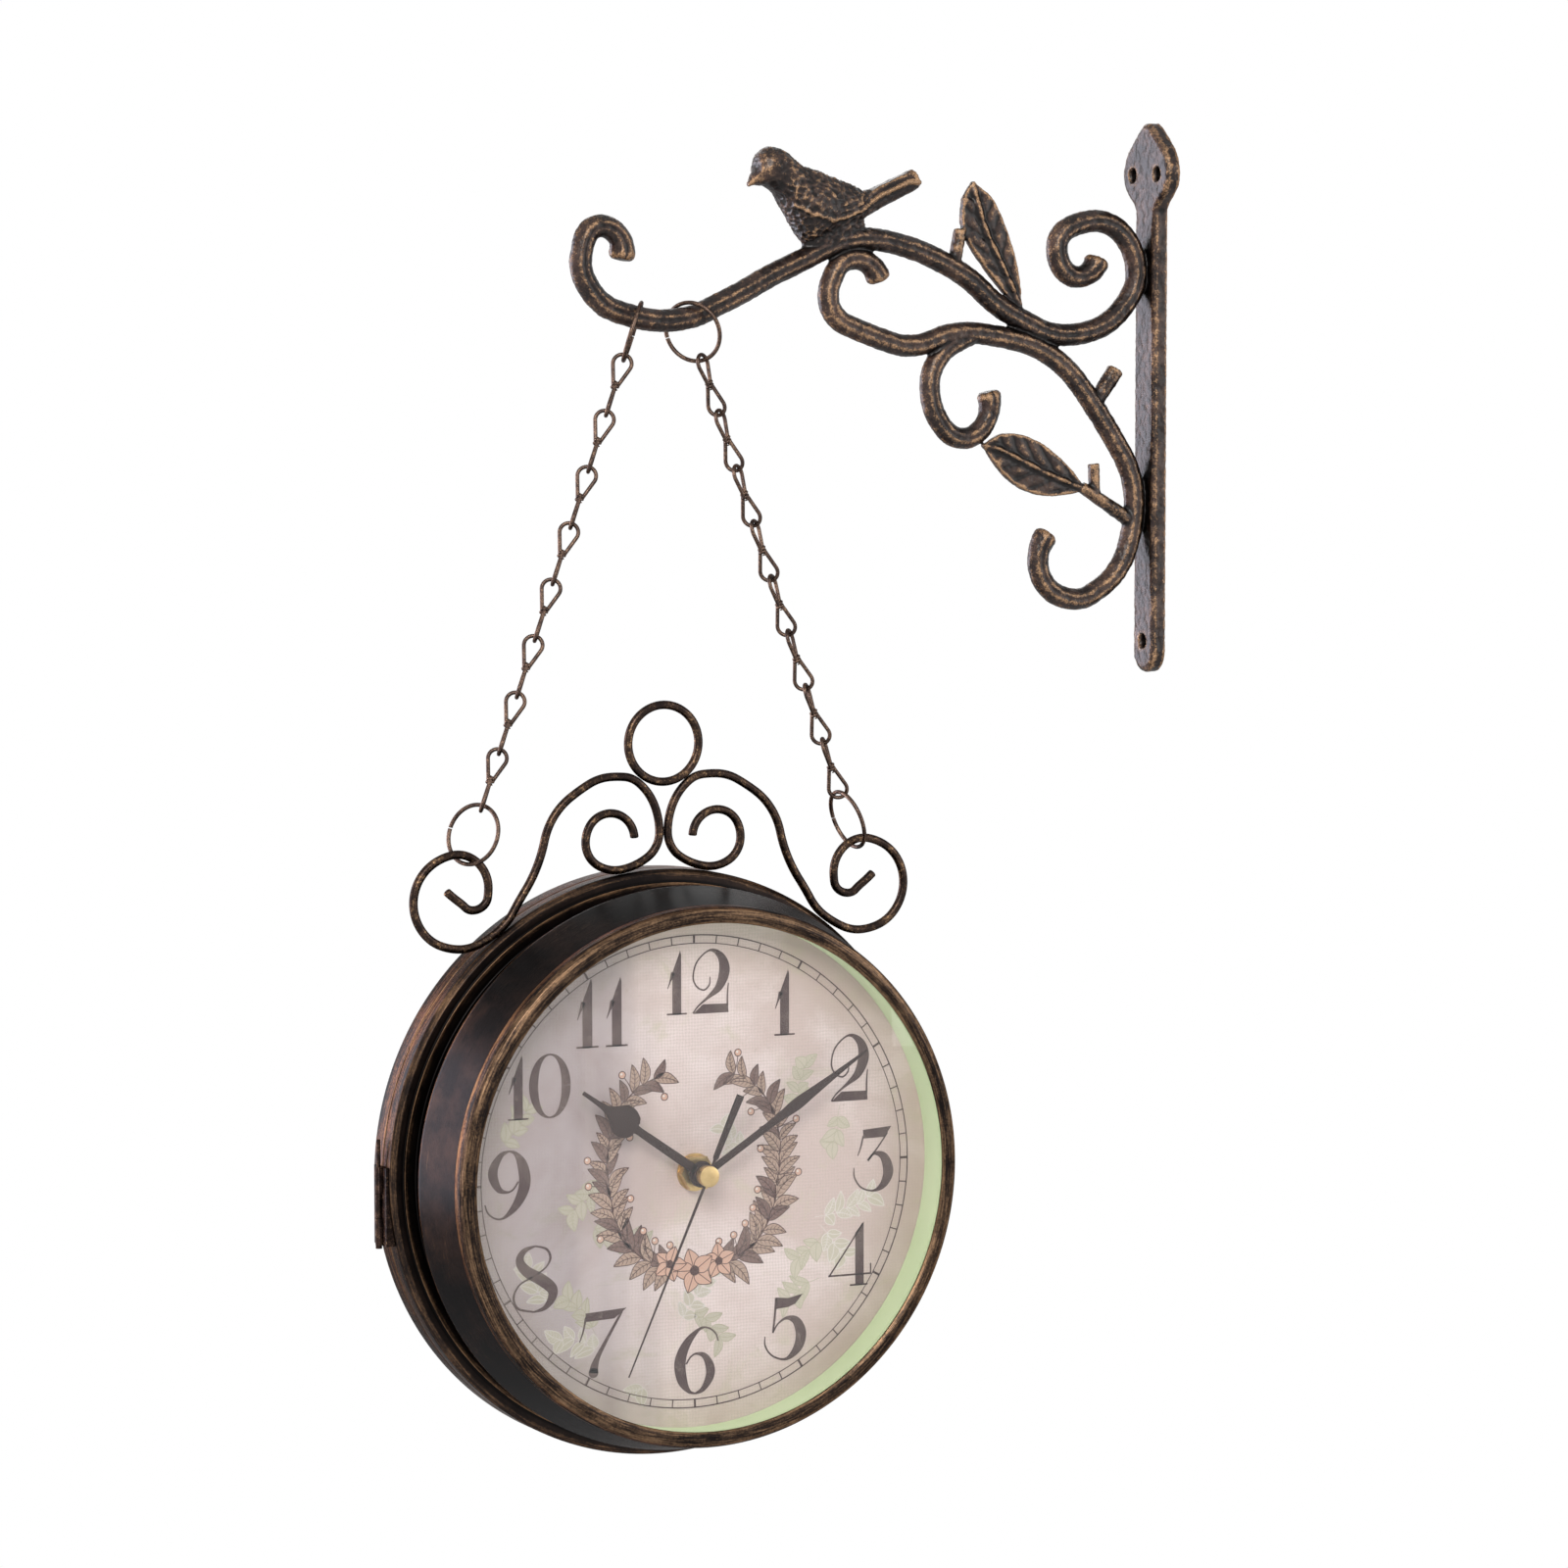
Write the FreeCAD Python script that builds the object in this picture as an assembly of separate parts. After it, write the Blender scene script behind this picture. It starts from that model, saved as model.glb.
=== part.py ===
import FreeCAD, Part
import math
import os

os.makedirs("parts", exist_ok=True)

# All sizes are millimetres. The wall is the plane x = 0 and the room lies towards -x.
# The front dial faces -y, z points up, and z = 0 is the height of the two upper screws.

# Where the clock hangs from the wall
reach = 210.0
drop = 371.0

# Wall plate of the bracket
plate_height = 212.0
plate_above = 20.0
plate_width = 16.0
plate_thick = 6.0
plate_bevel = 1.5
lobe_width = 36.0
neck_share = -0.70
lobe_foot_share = -0.44
lobe_brow_shares = (0.62, 0.62)
screw_spacing = 18.8
screw_radius = 2.4
low_screw_rise = 12.0

# Cast arms, twigs, leaves and bird
hook_width = 8.6
hook_depth = 8.4
stay_width = 8.4
stay_depth = 8.0
curl_width = 8.2
curl_depth = 7.6
arm_bite = 0.85
arm_flat_share = 0.30
twig_width = 5.4
twig_depth = 6.4
leaf_thick = 4.4
vein_width = 1.6
vein_rise = 0.8
vein_start_share = 0.12
bird_depth = 19.0
foot_depth_share = 0.42

# Rings, chains and crown
ring_spread = 20.8
seat_drop = 55.7
ring_diameter = 24.0
ring_wire = 1.6
crown_wire = 3.2
crown_ring_diameter = 31.9
link_count = 8
link_wire = 1.5
eye_root_share = 0.55
eye_steps = 7
wire_sides = 6
wire_step_degrees = 15
eye_width = 8.4
waist_radius = 1.7
waist_length = 4.4
hook_play = 0.5
link_slack = 0.35
ring_slack = 0.6
open_slack = 0.5

# Drum case, in two halves that part on a plane behind the middle
flange_radius = 110.4
wall = 1.2
part_y = 6.4
part_gap = 0.4
flange_front = 8.2
flange_rear = 10.4
lip_step = 4.9
lip_thick = 2.0
groove_width = 13.0
groove_depth = 4.5
rear_lip = 1.0
rear_neck_step = 10.4
shoulder = 1.8
front_face = 46.0
rear_face = 42.0
front_bezel_step = 10.1
rear_bezel_step = 12.1
spigot_length = 4.0
spigot_wall = 1.1
spigot_gap = 0.4

# Bezel, glass, reveal and dial, alike on both sides
bezel_width = 6.2
bezel_height = 7.4
bezel_lip = 1.7
bezel_skirt = 1.0
bezel_stop = 3.2
bead_width = 2.2
bead_drop = 1.0
bead_slope = 2.6
glass_lap = 3.0
glass_thick = 2.0
reveal_step = 0.3
reveal_wall = 0.8
reveal_depth = 15.4
dial_thick = 1.6
dial_overhang = 2.5
clip_count = 4
clip_width = 12.0
front_clip_reach = 14.0
rear_clip_reach = 4.8
clip_finger = 6.0
clip_gap = 0.25
clip_thick = 1.0
seat_gap = 0.1

# Movement and hands, alike on both sides
case_side = 56.0
case_corner = 6.0
case_deep = 16.0
bush_radius = 4.0
bush_rise = 4.8
bush_gap = 0.2
arbor_sink = 5.0
arbor_step = 0.8
hour_pipe_radius = 2.8
minute_arbor_radius = 1.75
second_arbor_radius = 0.5
run_fit = 0.05
washer_radius = 7.0
washer_thick = 0.6
nut_flats = 12.0
nut_sides = 6
nut_thick = 3.0
hand_thick = 0.6
hour_rise = 6.8
minute_rise = 9.2
second_rise = 12.6
hand_nut_radius = 3.6
hand_nut_thick = 1.7
hour_length = 57.4
minute_length = 79.0
second_tail = 31.6
battery_radius = 7.2
battery_length = 50.4
battery_gap = 0.4
bay_margin = 2.0
terminal_radius = 2.6
terminal_length = 1.4
knob_radius = 5.0
knob_thick = 4.0
knob_offset = 14.0
knob_stem = 1.5
knob_sides = 14
knob_gap = 0.3
stem_depth = 4.0
time_share = 0.84662037
hour_count = 12
minute_count = 60

# Hinge and catch
hinge_low = 9.8
hinge_height = 29.0
knuckle_radius = 1.3
knuckle_share = 0.34
knuckle_gap = 0.3
hinge_pin_radius = 0.7
pin_above = 10.0
pin_head_radius = 1.2
pin_head = 1.2
leaf_inset = 0.6
leaf_depth = 4.4
leaf_bite = 6.0
catch_width = 10.0
catch_thick = 0.9
catch_nose = 1.1
catch_gap = 0.3
catch_length = 10.0
catch_rise = 1.6

# Overrun of cutting tools past the faces they cut
overrun = 2.0

# Outlines as shares: outwards from the arms' root on the plate over the reach, upwards over the plate height
hook_tip_shares = [(1.0820, -0.154), (1.1246, -0.105), (1.1644, -0.165), (1.1351, -0.228)]
hook_run_shares = [(0.8743, -0.234), (0.7529, -0.177), (0.5916, -0.122), (0.4817, -0.139),
                   (0.3843, -0.179), (0.2796, -0.250), (0.1518, -0.291), (0.0429, -0.254),
                   (-0.0000, -0.179), (0.0974, -0.085), (0.1738, -0.138), (0.1319, -0.186), (0.0880, -0.160)]
stay_shares = [(0.5560, -0.189), (0.6157, -0.158), (0.6576, -0.208), (0.5267, -0.306), (0.3518, -0.288),
               (0.1738, -0.336), (0.0880, -0.424), (0.0021, -0.600), (0.0681, -0.745), (0.1319, -0.770),
               (0.2105, -0.715), (0.1969, -0.656)]
curl_shares = [(0.3613, -0.295), (0.4188, -0.323), (0.4461, -0.385), (0.3414, -0.465), (0.3194, -0.401)]
twig_shares = [[(0.3979, -0.185), (0.3822, -0.105)], [(0.1180, -0.566), (0.0178, -0.624)],
               [(0.0918, -0.524), (0.0885, -0.580)], [(0.0880, -0.412), (0.0450, -0.355)]]
leaf_tip_shares = [(0.3556, -0.016), (0.3355, -0.489)]
leaf_stem_shares = [(0.2490, -0.252), (0.1074, -0.572)]
leaf_down_shares = [[(0.3770, -0.048), (0.3790, -0.098), (0.3550, -0.143), (0.3000, -0.205)],
                    [(0.2872, -0.468), (0.2200, -0.480), (0.1548, -0.523)]]
leaf_up_shares = [[(0.2584, -0.182), (0.2760, -0.122), (0.3100, -0.054)],
                  [(0.1600, -0.581), (0.2239, -0.578), (0.2820, -0.549)]]

# Bird stations from tail to beak: out and up on the back, out and up below, depth over the bird's depth
bird_shares = [(0.4863, 0.002, 0.4703, -0.031, 0.34), (0.5809, -0.037, 0.5745, -0.079, 0.45),
               (0.6154, -0.030, 0.6059, -0.095, 0.70), (0.6873, -0.006, 0.6810, -0.123, 1.00),
               (0.7215, 0.003, 0.7109, -0.127, 0.98), (0.7420, 0.018, 0.7382, -0.088, 0.90),
               (0.7587, 0.032, 0.7680, -0.047, 0.80), (0.7865, 0.037, 0.7939, -0.032, 0.74),
               (0.8087, 0.023, 0.8060, -0.030, 0.58), (0.8155, 0.006, 0.8124, -0.029, 0.36),
               (0.8215, -0.026, 0.8235, -0.033, 0.08)]
bird_sides = 10
foot_shares = [(0.7180, -0.105), (0.7130, -0.154), (0.5807, -0.112), (0.5900, -0.075)]

# Crown wire as shares of the flange radius, from the outer tail to the inner one
crown_tail_shares = [(0.788, 0.953), (0.695, 0.888), (0.640, 0.960)]
crown_hook_share = (0.718, 1.071)
crown_run_shares = [(0.827, 1.055), (0.907, 0.937), (0.862, 0.808), (0.752, 0.761)]
crown_foot_share = 0.605
crown_mid_shares = [(0.508, 0.945), (0.343, 1.252), (0.198, 1.317)]
crown_seat_share = (0.096, 1.297)
crown_inner_share = 1.125
crown_toe_share = 0.155
crown_end_shares = [(0.287, 1.095), (0.234, 1.187), (0.108, 1.112)]

# Hand outlines: distance from the arbor over the length, half width over the length
hour_shares = [(-0.06, 0.030), (0.56, 0.027), (0.65, 0.100), (0.72, 0.082), (0.80, 0.026), (1.00, 0.006)]
minute_shares = [(-0.04, 0.017), (0.40, 0.017), (0.57, 0.029), (0.80, 0.014), (1.00, 0.004)]
second_shares = [(-1.00, 0.040), (-0.55, 0.034), (-0.52, 0.015), (0.00, 0.020), (2.50, 0.008)]
hour_boss_share = 0.085
hour_bulb_share = 0.65
bulb_radius_share = 0.104
minute_boss_share = 0.055
second_boss_share = 0.12

origin = FreeCAD.Vector(0, 0, 0)
along_x = FreeCAD.Vector(1, 0, 0)
along_y = FreeCAD.Vector(0, 1, 0)
along_z = FreeCAD.Vector(0, 0, 1)
clock_at = FreeCAD.Vector(-reach, 0, -drop)


def save(name, shape):
    shape.exportStep("parts/" + name + ".step")


def saved_on_clock(name, shape):
    shape.translate(clock_at)
    save(name, shape)


# Paths of tangent arcs in the upright plane y = 0
def unit(a, b):
    size = math.hypot(a, b)
    return (a / size, b / size)


def heading_between(before, here, after):
    first = (here[0] - before[0], here[1] - before[1])
    then = (after[0] - here[0], after[1] - here[1])
    first_square = first[0] ** 2 + first[1] ** 2
    then_square = then[0] ** 2 + then[1] ** 2
    return unit(first[0] / first_square + then[0] / then_square,
                first[1] / first_square + then[1] / then_square)


def end_heading(heading, start, end):
    chord = unit(end[0] - start[0], end[1] - start[1])
    twice = 2 * (chord[0] * heading[0] + chord[1] * heading[1])
    return (twice * chord[0] - heading[0], twice * chord[1] - heading[1])


def headings_of(points):
    inner = [heading_between(*points[i - 1:i + 2]) for i in range(1, len(points) - 1)]
    first = end_heading(inner[0], points[0], points[1])
    last = end_heading(inner[-1], points[-2], points[-1])
    return [first] + inner + [last]


def turned(vector, angle):
    return (vector[0] * math.cos(angle) - vector[1] * math.sin(angle),
            vector[0] * math.sin(angle) + vector[1] * math.cos(angle))


def arc_to(start, heading, end):
    chord = (end[0] - start[0], end[1] - start[1])
    ahead = chord[0] * heading[0] + chord[1] * heading[1]
    aside = chord[1] * heading[0] - chord[0] * heading[1]
    turn = 2 * math.atan2(aside, ahead)
    radius = (ahead ** 2 + aside ** 2) / (2 * aside)
    centre = (start[0] - heading[1] * radius, start[1] + heading[0] * radius)
    return (start, heading, centre, turn, end)


def arcs_through(points, fixed):
    arcs = []
    headings = [fixed.get(i, heading) for i, heading in enumerate(headings_of(points))]
    for start, leave, end, arrive in zip(points, headings, points[1:], headings[1:]):
        chord = (end[0] - start[0], end[1] - start[1])
        both = (leave[0] + arrive[0], leave[1] + arrive[1])
        pull = chord[0] * both[0] + chord[1] * both[1]
        square = chord[0] ** 2 + chord[1] ** 2
        bend = 2 * (1 - leave[0] * arrive[0] - leave[1] * arrive[1])
        arm = square / (pull + math.sqrt(pull ** 2 + bend * square))
        middle = ((start[0] + end[0] + arm * (leave[0] - arrive[0])) / 2,
                  (start[1] + end[1] + arm * (leave[1] - arrive[1])) / 2)
        arcs.append(arc_to(start, leave, middle))
        arcs.append(arc_to(middle, turned(leave, arcs[-1][3]), end))
    return arcs


def closed_wire(corners):
    return Part.makePolygon(corners + corners[:1])


def section_corners(point, heading, section):
    return [FreeCAD.Vector(point[0] - heading[1] * side, deep, point[1] + heading[0] * side)
            for side, deep in section]


def section_wire(point, heading, section):
    return closed_wire(section_corners(point, heading, section))


def solid_from(faces):
    shell = Part.makeShell(faces)
    shell.sewShape()
    return Part.makeSolid(shell)


def bar_along(points, section):
    faces = []
    arcs = arcs_through(points, {})
    for start, heading, centre, turn, end in arcs:
        wire = section_wire(start, heading, section)
        pivot = FreeCAD.Vector(centre[0], 0, centre[1])
        faces += wire.revolve(pivot, -along_y, math.degrees(turn)).Faces
    first = section_wire(arcs[0][0], arcs[0][1], section)
    last = section_wire(arcs[-1][4], turned(arcs[-1][1], arcs[-1][3]), section)
    return solid_from(faces + [Part.Face(first), Part.Face(last)])


def bent_wire(stations, section, closed=False):
    rows = [section_corners(point, heading, section) for point, heading in stations]
    ends = [] if closed else [Part.Face(closed_wire(rows[0])), Part.Face(closed_wire(rows[-1]))]
    following = rows[1:] + rows[:1] if closed else rows[1:]
    faces = []
    for row, after in zip(rows, following):
        for i in range(len(section)):
            faces.append(Part.Face(closed_wire([row[i - 1], row[i], after[i], after[i - 1]])))
    return solid_from(faces + ends)


def stations_along(points, fixed):
    stations = []
    arcs = arcs_through(points, fixed)
    for start, heading, centre, turn, end in arcs:
        steps = math.ceil(abs(math.degrees(turn)) / wire_step_degrees)
        spoke = (start[0] - centre[0], start[1] - centre[1])
        for i in range(steps):
            swung = turned(spoke, turn * i / steps)
            here = (centre[0] + swung[0], centre[1] + swung[1])
            stations.append((here, turned(heading, turn * i / steps)))
    return stations + [(arcs[-1][4], turned(arcs[-1][1], arcs[-1][3]))]


def cast_section(width, depth):
    side = width / 2
    deep = depth / 2
    flat = side * arm_flat_share
    return [(side, 0), (flat, deep), (-flat, deep), (-side, 0), (-flat, -deep), (flat, -deep)]


def wire_section(diameter, sides):
    radius = diameter / 2 * math.sqrt(math.tau / sides / math.sin(math.tau / sides))
    angles = [math.tau * (2 * i + 1) / (2 * sides) for i in range(sides)]
    return [(radius * math.cos(a), radius * math.sin(a)) for a in angles]


def ring_of(outer_diameter, wire):
    mean = (outer_diameter - wire) / 2
    angles = [math.radians(turn) for turn in range(0, 360, wire_step_degrees)]
    stations = [((mean * math.cos(a), mean * math.sin(a)), (-math.sin(a), math.cos(a))) for a in angles]
    ring = bent_wire(stations, wire_section(wire, wire_sides), True)
    ring.rotate(origin, along_z, 90)
    return ring


def disc(radius, start_y, end_y, x=0, z=0):
    low = min(start_y, end_y)
    return Part.makeCylinder(radius, abs(end_y - start_y), FreeCAD.Vector(x, low, z), along_y)


def box_between(low, high):
    size = [b - a for a, b in zip(low, high)]
    return Part.makeBox(*size, FreeCAD.Vector(*low))


def turned_ring(profile):
    corners = [FreeCAD.Vector(radius, y, 0) for radius, y in profile]
    return Part.Face(closed_wire(corners)).revolve(origin, along_y, 360)


# Bracket casting
arm_root = plate_thick + hook_width / 2 - arm_bite


def on_bracket(shares):
    return [(-arm_root - out * (reach - arm_root), up * plate_height) for out, up in shares]


def upright(pair, y=0):
    return FreeCAD.Vector(pair[0], y, pair[1])


def prism(corners, depth):
    points = [upright(pair, -depth / 2) for pair in corners]
    return Part.Face(closed_wire(points)).extrude(along_y * depth)


def wall_plate():
    half = plate_width / 2
    lobe = lobe_width / 2
    foot = plate_above - plate_height + half
    tip = FreeCAD.Vector(0, 0, plate_above)
    toe = FreeCAD.Vector(0, 0, plate_above - plate_height)
    edges = []
    for side in (-1, 1):
        neck = FreeCAD.Vector(0, side * half, plate_above * neck_share)
        waist = FreeCAD.Vector(0, side * (half + lobe) / 2, plate_above * lobe_foot_share)
        crest = FreeCAD.Vector(0, side * lobe, 0)
        brow = FreeCAD.Vector(0, side * lobe * lobe_brow_shares[0], plate_above * lobe_brow_shares[1])
        bottom = FreeCAD.Vector(0, side * half, foot)
        round_out = half * math.sin(math.pi / 4)
        edges.append(Part.Arc(toe, FreeCAD.Vector(0, side * round_out, foot - round_out), bottom).toShape())
        edges.append(Part.makeLine(bottom, neck))
        edges.append(Part.makeLine(neck, waist))
        edges.append(Part.Arc(waist, crest, brow).toShape())
        edges.append(Part.makeLine(brow, tip))
    outline = Part.Wire(Part.__sortEdges__(edges))
    plate = Part.Face(outline).extrude(along_x * -plate_thick)
    rim = [edge for edge in plate.Edges if abs(edge.CenterOfMass.x + plate_thick) < run_fit]
    plate = plate.makeChamfer(plate_bevel, rim)
    holes = [(-screw_spacing / 2, 0), (screw_spacing / 2, 0), (0, plate_above - plate_height + low_screw_rise)]
    for y, z in holes:
        start = FreeCAD.Vector(overrun, y, z)
        plate = plate.cut(Part.makeCylinder(screw_radius, plate_thick + 2 * overrun, start, -along_x))
    return plate


def leaf_edge(shares):
    curve = Part.BSplineCurve()
    curve.interpolate([upright(pair, -leaf_thick / 2) for pair in on_bracket(shares)])
    return curve.toShape()


def cast_leaf(tip_share, down_shares, stem_share, up_shares):
    edges = [leaf_edge([tip_share] + down_shares + [stem_share]), leaf_edge([stem_share] + up_shares + [tip_share])]
    blade = Part.Face(Part.Wire(edges)).extrude(along_y * leaf_thick)
    tip, stem = on_bracket([tip_share, stem_share])
    run = unit(stem[0] - tip[0], stem[1] - tip[1])
    across = (-run[1] * vein_width / 2, run[0] * vein_width / 2)
    start = (tip[0] + (stem[0] - tip[0]) * vein_start_share, tip[1] + (stem[1] - tip[1]) * vein_start_share)
    vein = [(start[0] + across[0], start[1] + across[1]), (stem[0] + across[0], stem[1] + across[1]),
            (stem[0] - across[0], stem[1] - across[1]), (start[0] - across[0], start[1] - across[1])]
    return blade.fuse(prism(vein, leaf_thick + 2 * vein_rise))


def cast_twig(shares):
    start, end = on_bracket(shares)
    run = unit(end[0] - start[0], end[1] - start[1])
    across = (-run[1] * twig_width / 2, run[0] * twig_width / 2)
    corners = [(start[0] + across[0], start[1] + across[1]), (start[0] - across[0], start[1] - across[1]),
               (end[0] - across[0], end[1] - across[1]), (end[0] + across[0], end[1] + across[1])]
    return prism(corners, twig_depth)


def cast_bird():
    rows = []
    for station in bird_shares:
        top, low = on_bracket([station[:2], station[2:4]])
        middle = ((top[0] + low[0]) / 2, (top[1] + low[1]) / 2)
        half = ((top[0] - low[0]) / 2, (top[1] - low[1]) / 2)
        deep = station[4] * bird_depth / 2
        around = [math.tau * i / bird_sides for i in range(bird_sides)]
        corners = [(middle[0] + half[0] * math.cos(a), middle[1] + half[1] * math.cos(a)) for a in around]
        rows.append(closed_wire([upright(pair, deep * math.sin(a)) for pair, a in zip(corners, around)]))
    body = Part.makeLoft(rows, True, True)
    return body.fuse(prism(on_bracket(foot_shares), bird_depth * foot_depth_share))


seat_left = (-reach - ring_spread / 2, -seat_drop)
seat_right = (-reach + ring_spread / 2, -seat_drop)
hook_points = on_bracket(hook_tip_shares) + [seat_left, seat_right] + on_bracket(hook_run_shares)
bracket = [bar_along(hook_points, cast_section(hook_width, hook_depth)),
           bar_along(on_bracket(stay_shares), cast_section(stay_width, stay_depth)),
           bar_along(on_bracket(curl_shares), cast_section(curl_width, curl_depth)),
           cast_bird()]
bracket += [cast_leaf(*shares) for shares in zip(leaf_tip_shares, leaf_down_shares, leaf_stem_shares, leaf_up_shares)]
bracket += [cast_twig(shares) for shares in twig_shares]
save("bracket_casting", wall_plate().multiFuse(bracket).removeSplitter())

# Crown: two S wires on the drum's flange and a ring in the V between them
def on_crown(shares, side):
    return [(side * out * flange_radius, up * flange_radius) for out, up in shares]


def on_flange(share, side):
    stand = flange_radius + crown_wire / 2 + seat_gap
    across = share * flange_radius
    return (side * across, math.sqrt(stand ** 2 - across ** 2))


# Chain spans: each hangs from a ring on the hook and carries a ring on the crown's outer scroll
ring_mean = (ring_diameter - ring_wire) / 2
seat_reach = hook_width / 2 + hook_play
hang_first = ring_diameter / 2 - ring_wire - seat_reach + ring_mean
hook_at = on_crown([crown_hook_share], 1)[0]
seat_at = (ring_spread / 2, drop - seat_drop)
chain_length = math.hypot(hook_at[0] - seat_at[0], hook_at[1] - seat_at[1])
chain_lean = math.degrees(math.atan2(hook_at[0] - seat_at[0], seat_at[1] - hook_at[1]))
low_play = (crown_wire + ring_wire) / 2 + open_slack
ring_play = (ring_wire + link_wire) / 2 + ring_slack
link_play = link_wire + link_slack
links_from = hang_first - ring_play
links_to = chain_length + low_play - 2 * ring_mean + ring_play
link_length = (links_to - links_from + (link_count - 1) * link_play) / link_count


def crown_path(side):
    outer = on_crown(crown_tail_shares + [crown_hook_share] + crown_run_shares, side)
    foot = on_flange(crown_foot_share, side)
    rise = on_crown(crown_mid_shares + [crown_seat_share], side)
    inner = (side * (crown_wire / 2 + seat_gap), crown_inner_share * flange_radius)
    toe = on_flange(crown_toe_share, side)
    points = outer + [foot] + rise + [inner, toe] + on_crown(crown_end_shares, side)
    lean = math.radians(chain_lean)
    fixed = {len(crown_tail_shares): (side * math.cos(lean), math.sin(lean)),
             points.index(foot): unit(-side * foot[1], side * foot[0]),
             points.index(rise[-1]): unit(-side * seat_lift, -seat_point[0]),
             points.index(inner): (0, -1),
             points.index(toe): unit(side * toe[1], -side * toe[0])}
    return stations_along(points, fixed)


seat_point = on_crown([crown_seat_share], 1)[0]
seat_span = (crown_ring_diameter + crown_wire) / 2 + seat_gap
seat_lift = math.sqrt(seat_span ** 2 - seat_point[0] ** 2)
for side, name in ((-1, "left"), (1, "right")):
    saved_on_clock("crown_scroll_" + name, bent_wire(crown_path(side), wire_section(crown_wire, wire_sides)))
crown_ring = ring_of(crown_ring_diameter, crown_wire)
crown_ring.rotate(origin, along_z, 90)
crown_ring.translate(FreeCAD.Vector(0, 0, seat_point[1] + seat_lift))
saved_on_clock("crown_ring", crown_ring)

# Twist of each piece about its chain, as it hangs
left_twists = {"upper": -25, "eyes": -25, "drift": 0, "lower": 29}
right_twists = {"upper": 36, "eyes": -144, "drift": 3, "lower": 3}


def chain_eye():
    bow = (eye_width - link_wire) / 2
    centre = link_length / 2 - bow
    root = link_wire * eye_root_share
    far = math.hypot(root, centre)
    lean = math.atan2(centre, -root) - math.asin(bow / far)
    reach_up = math.sqrt(far ** 2 - bow ** 2)
    touch = (root + reach_up * math.cos(lean), reach_up * math.sin(lean))
    start = math.atan2(touch[1] - centre, touch[0])
    sweep = [start + (math.pi - 2 * start) * i / eye_steps for i in range(eye_steps + 1)]
    bend = [((bow * math.cos(a), centre + bow * math.sin(a)), (-math.sin(a), math.cos(a))) for a in sweep]
    stations = [((root, 0), bend[0][1])] + bend + [((-root, 0), bend[-1][1])]
    return bent_wire(stations, wire_section(link_wire, wire_sides))


def chain_link():
    upper = chain_eye()
    lower = upper.copy()
    lower.rotate(origin, along_x, 180)
    lower.rotate(origin, along_z, 90)
    corners = [FreeCAD.Vector(a, b, -waist_length / 2) for a, b in wire_section(2 * waist_radius, 8)]
    waist = Part.Face(closed_wire(corners)).extrude(along_z * waist_length)
    return waist.multiFuse([upper, lower])


def hang(shape, side, twist, distance):
    shape.rotate(origin, along_z, twist)
    shape.translate(FreeCAD.Vector(0, 0, -distance))
    shape.rotate(origin, along_y, -side * chain_lean)
    shape.translate(FreeCAD.Vector(side * seat_at[0], 0, seat_at[1]))
    return shape


plain_link = chain_link()
for side, name, twists in ((-1, "left", left_twists), (1, "right", right_twists)):
    upper_ring = hang(ring_of(ring_diameter, ring_wire), side, twists["upper"], hang_first - ring_mean)
    saved_on_clock("upper_ring_" + name, upper_ring)
    for number in range(link_count):
        middle = links_from + link_length / 2 + number * (link_length - link_play)
        link = hang(plain_link.copy(), side, twists["eyes"] + twists["drift"] * number, middle)
        saved_on_clock("chain_" + name + "_link_" + str(number + 1), link)
    low_middle = chain_length + low_play - ring_mean
    lower_ring = hang(ring_of(ring_diameter, ring_wire), side, twists["lower"], low_middle)
    saved_on_clock("lower_ring_" + name, lower_ring)


# Drum case: two pressed halves
lip_radius = flange_radius - lip_step
rear_neck_radius = flange_radius - rear_neck_step
front_bezel_radius = flange_radius - front_bezel_step
rear_bezel_radius = flange_radius - rear_bezel_step
groove_radius = lip_radius - groove_depth
front_rim = part_y - part_gap / 2
rear_rim = part_y + part_gap / 2
flange_y = front_rim - flange_front
groove_rear = flange_y - rear_lip
groove_front = groove_rear - groove_width
rear_back = rear_rim + flange_rear
spigot_radius = flange_radius - wall - spigot_gap
spigot_bore = spigot_radius - spigot_wall
clip_radius_front = groove_radius - wall - clip_gap


def shell_end(bezel_radius):
    return bezel_radius - bezel_skirt - seat_gap


front_end = shell_end(front_bezel_radius)
rear_end = shell_end(rear_bezel_radius)
front_skirt = -front_face + bezel_height
rear_skirt = rear_face - bezel_height
front_stop = -front_face + bezel_stop + seat_gap
rear_stop = rear_face - bezel_stop - seat_gap

front_shell = turned_ring([
    (flange_radius, front_rim), (flange_radius, flange_y + shoulder), (flange_radius - shoulder, flange_y),
    (lip_radius, flange_y), (lip_radius, groove_rear), (groove_radius, groove_rear),
    (groove_radius, groove_front), (lip_radius, groove_front), (lip_radius, groove_front - lip_thick),
    (front_end, front_skirt), (front_end, front_stop), (front_end - wall, front_stop),
    (front_end - wall, front_skirt), (lip_radius - wall, groove_front - wall),
    (groove_radius - wall, groove_front - wall), (groove_radius - wall, flange_y + wall),
    (flange_radius - wall, flange_y + wall), (flange_radius - wall, front_rim)])
saved_on_clock("front_shell", front_shell)

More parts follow.
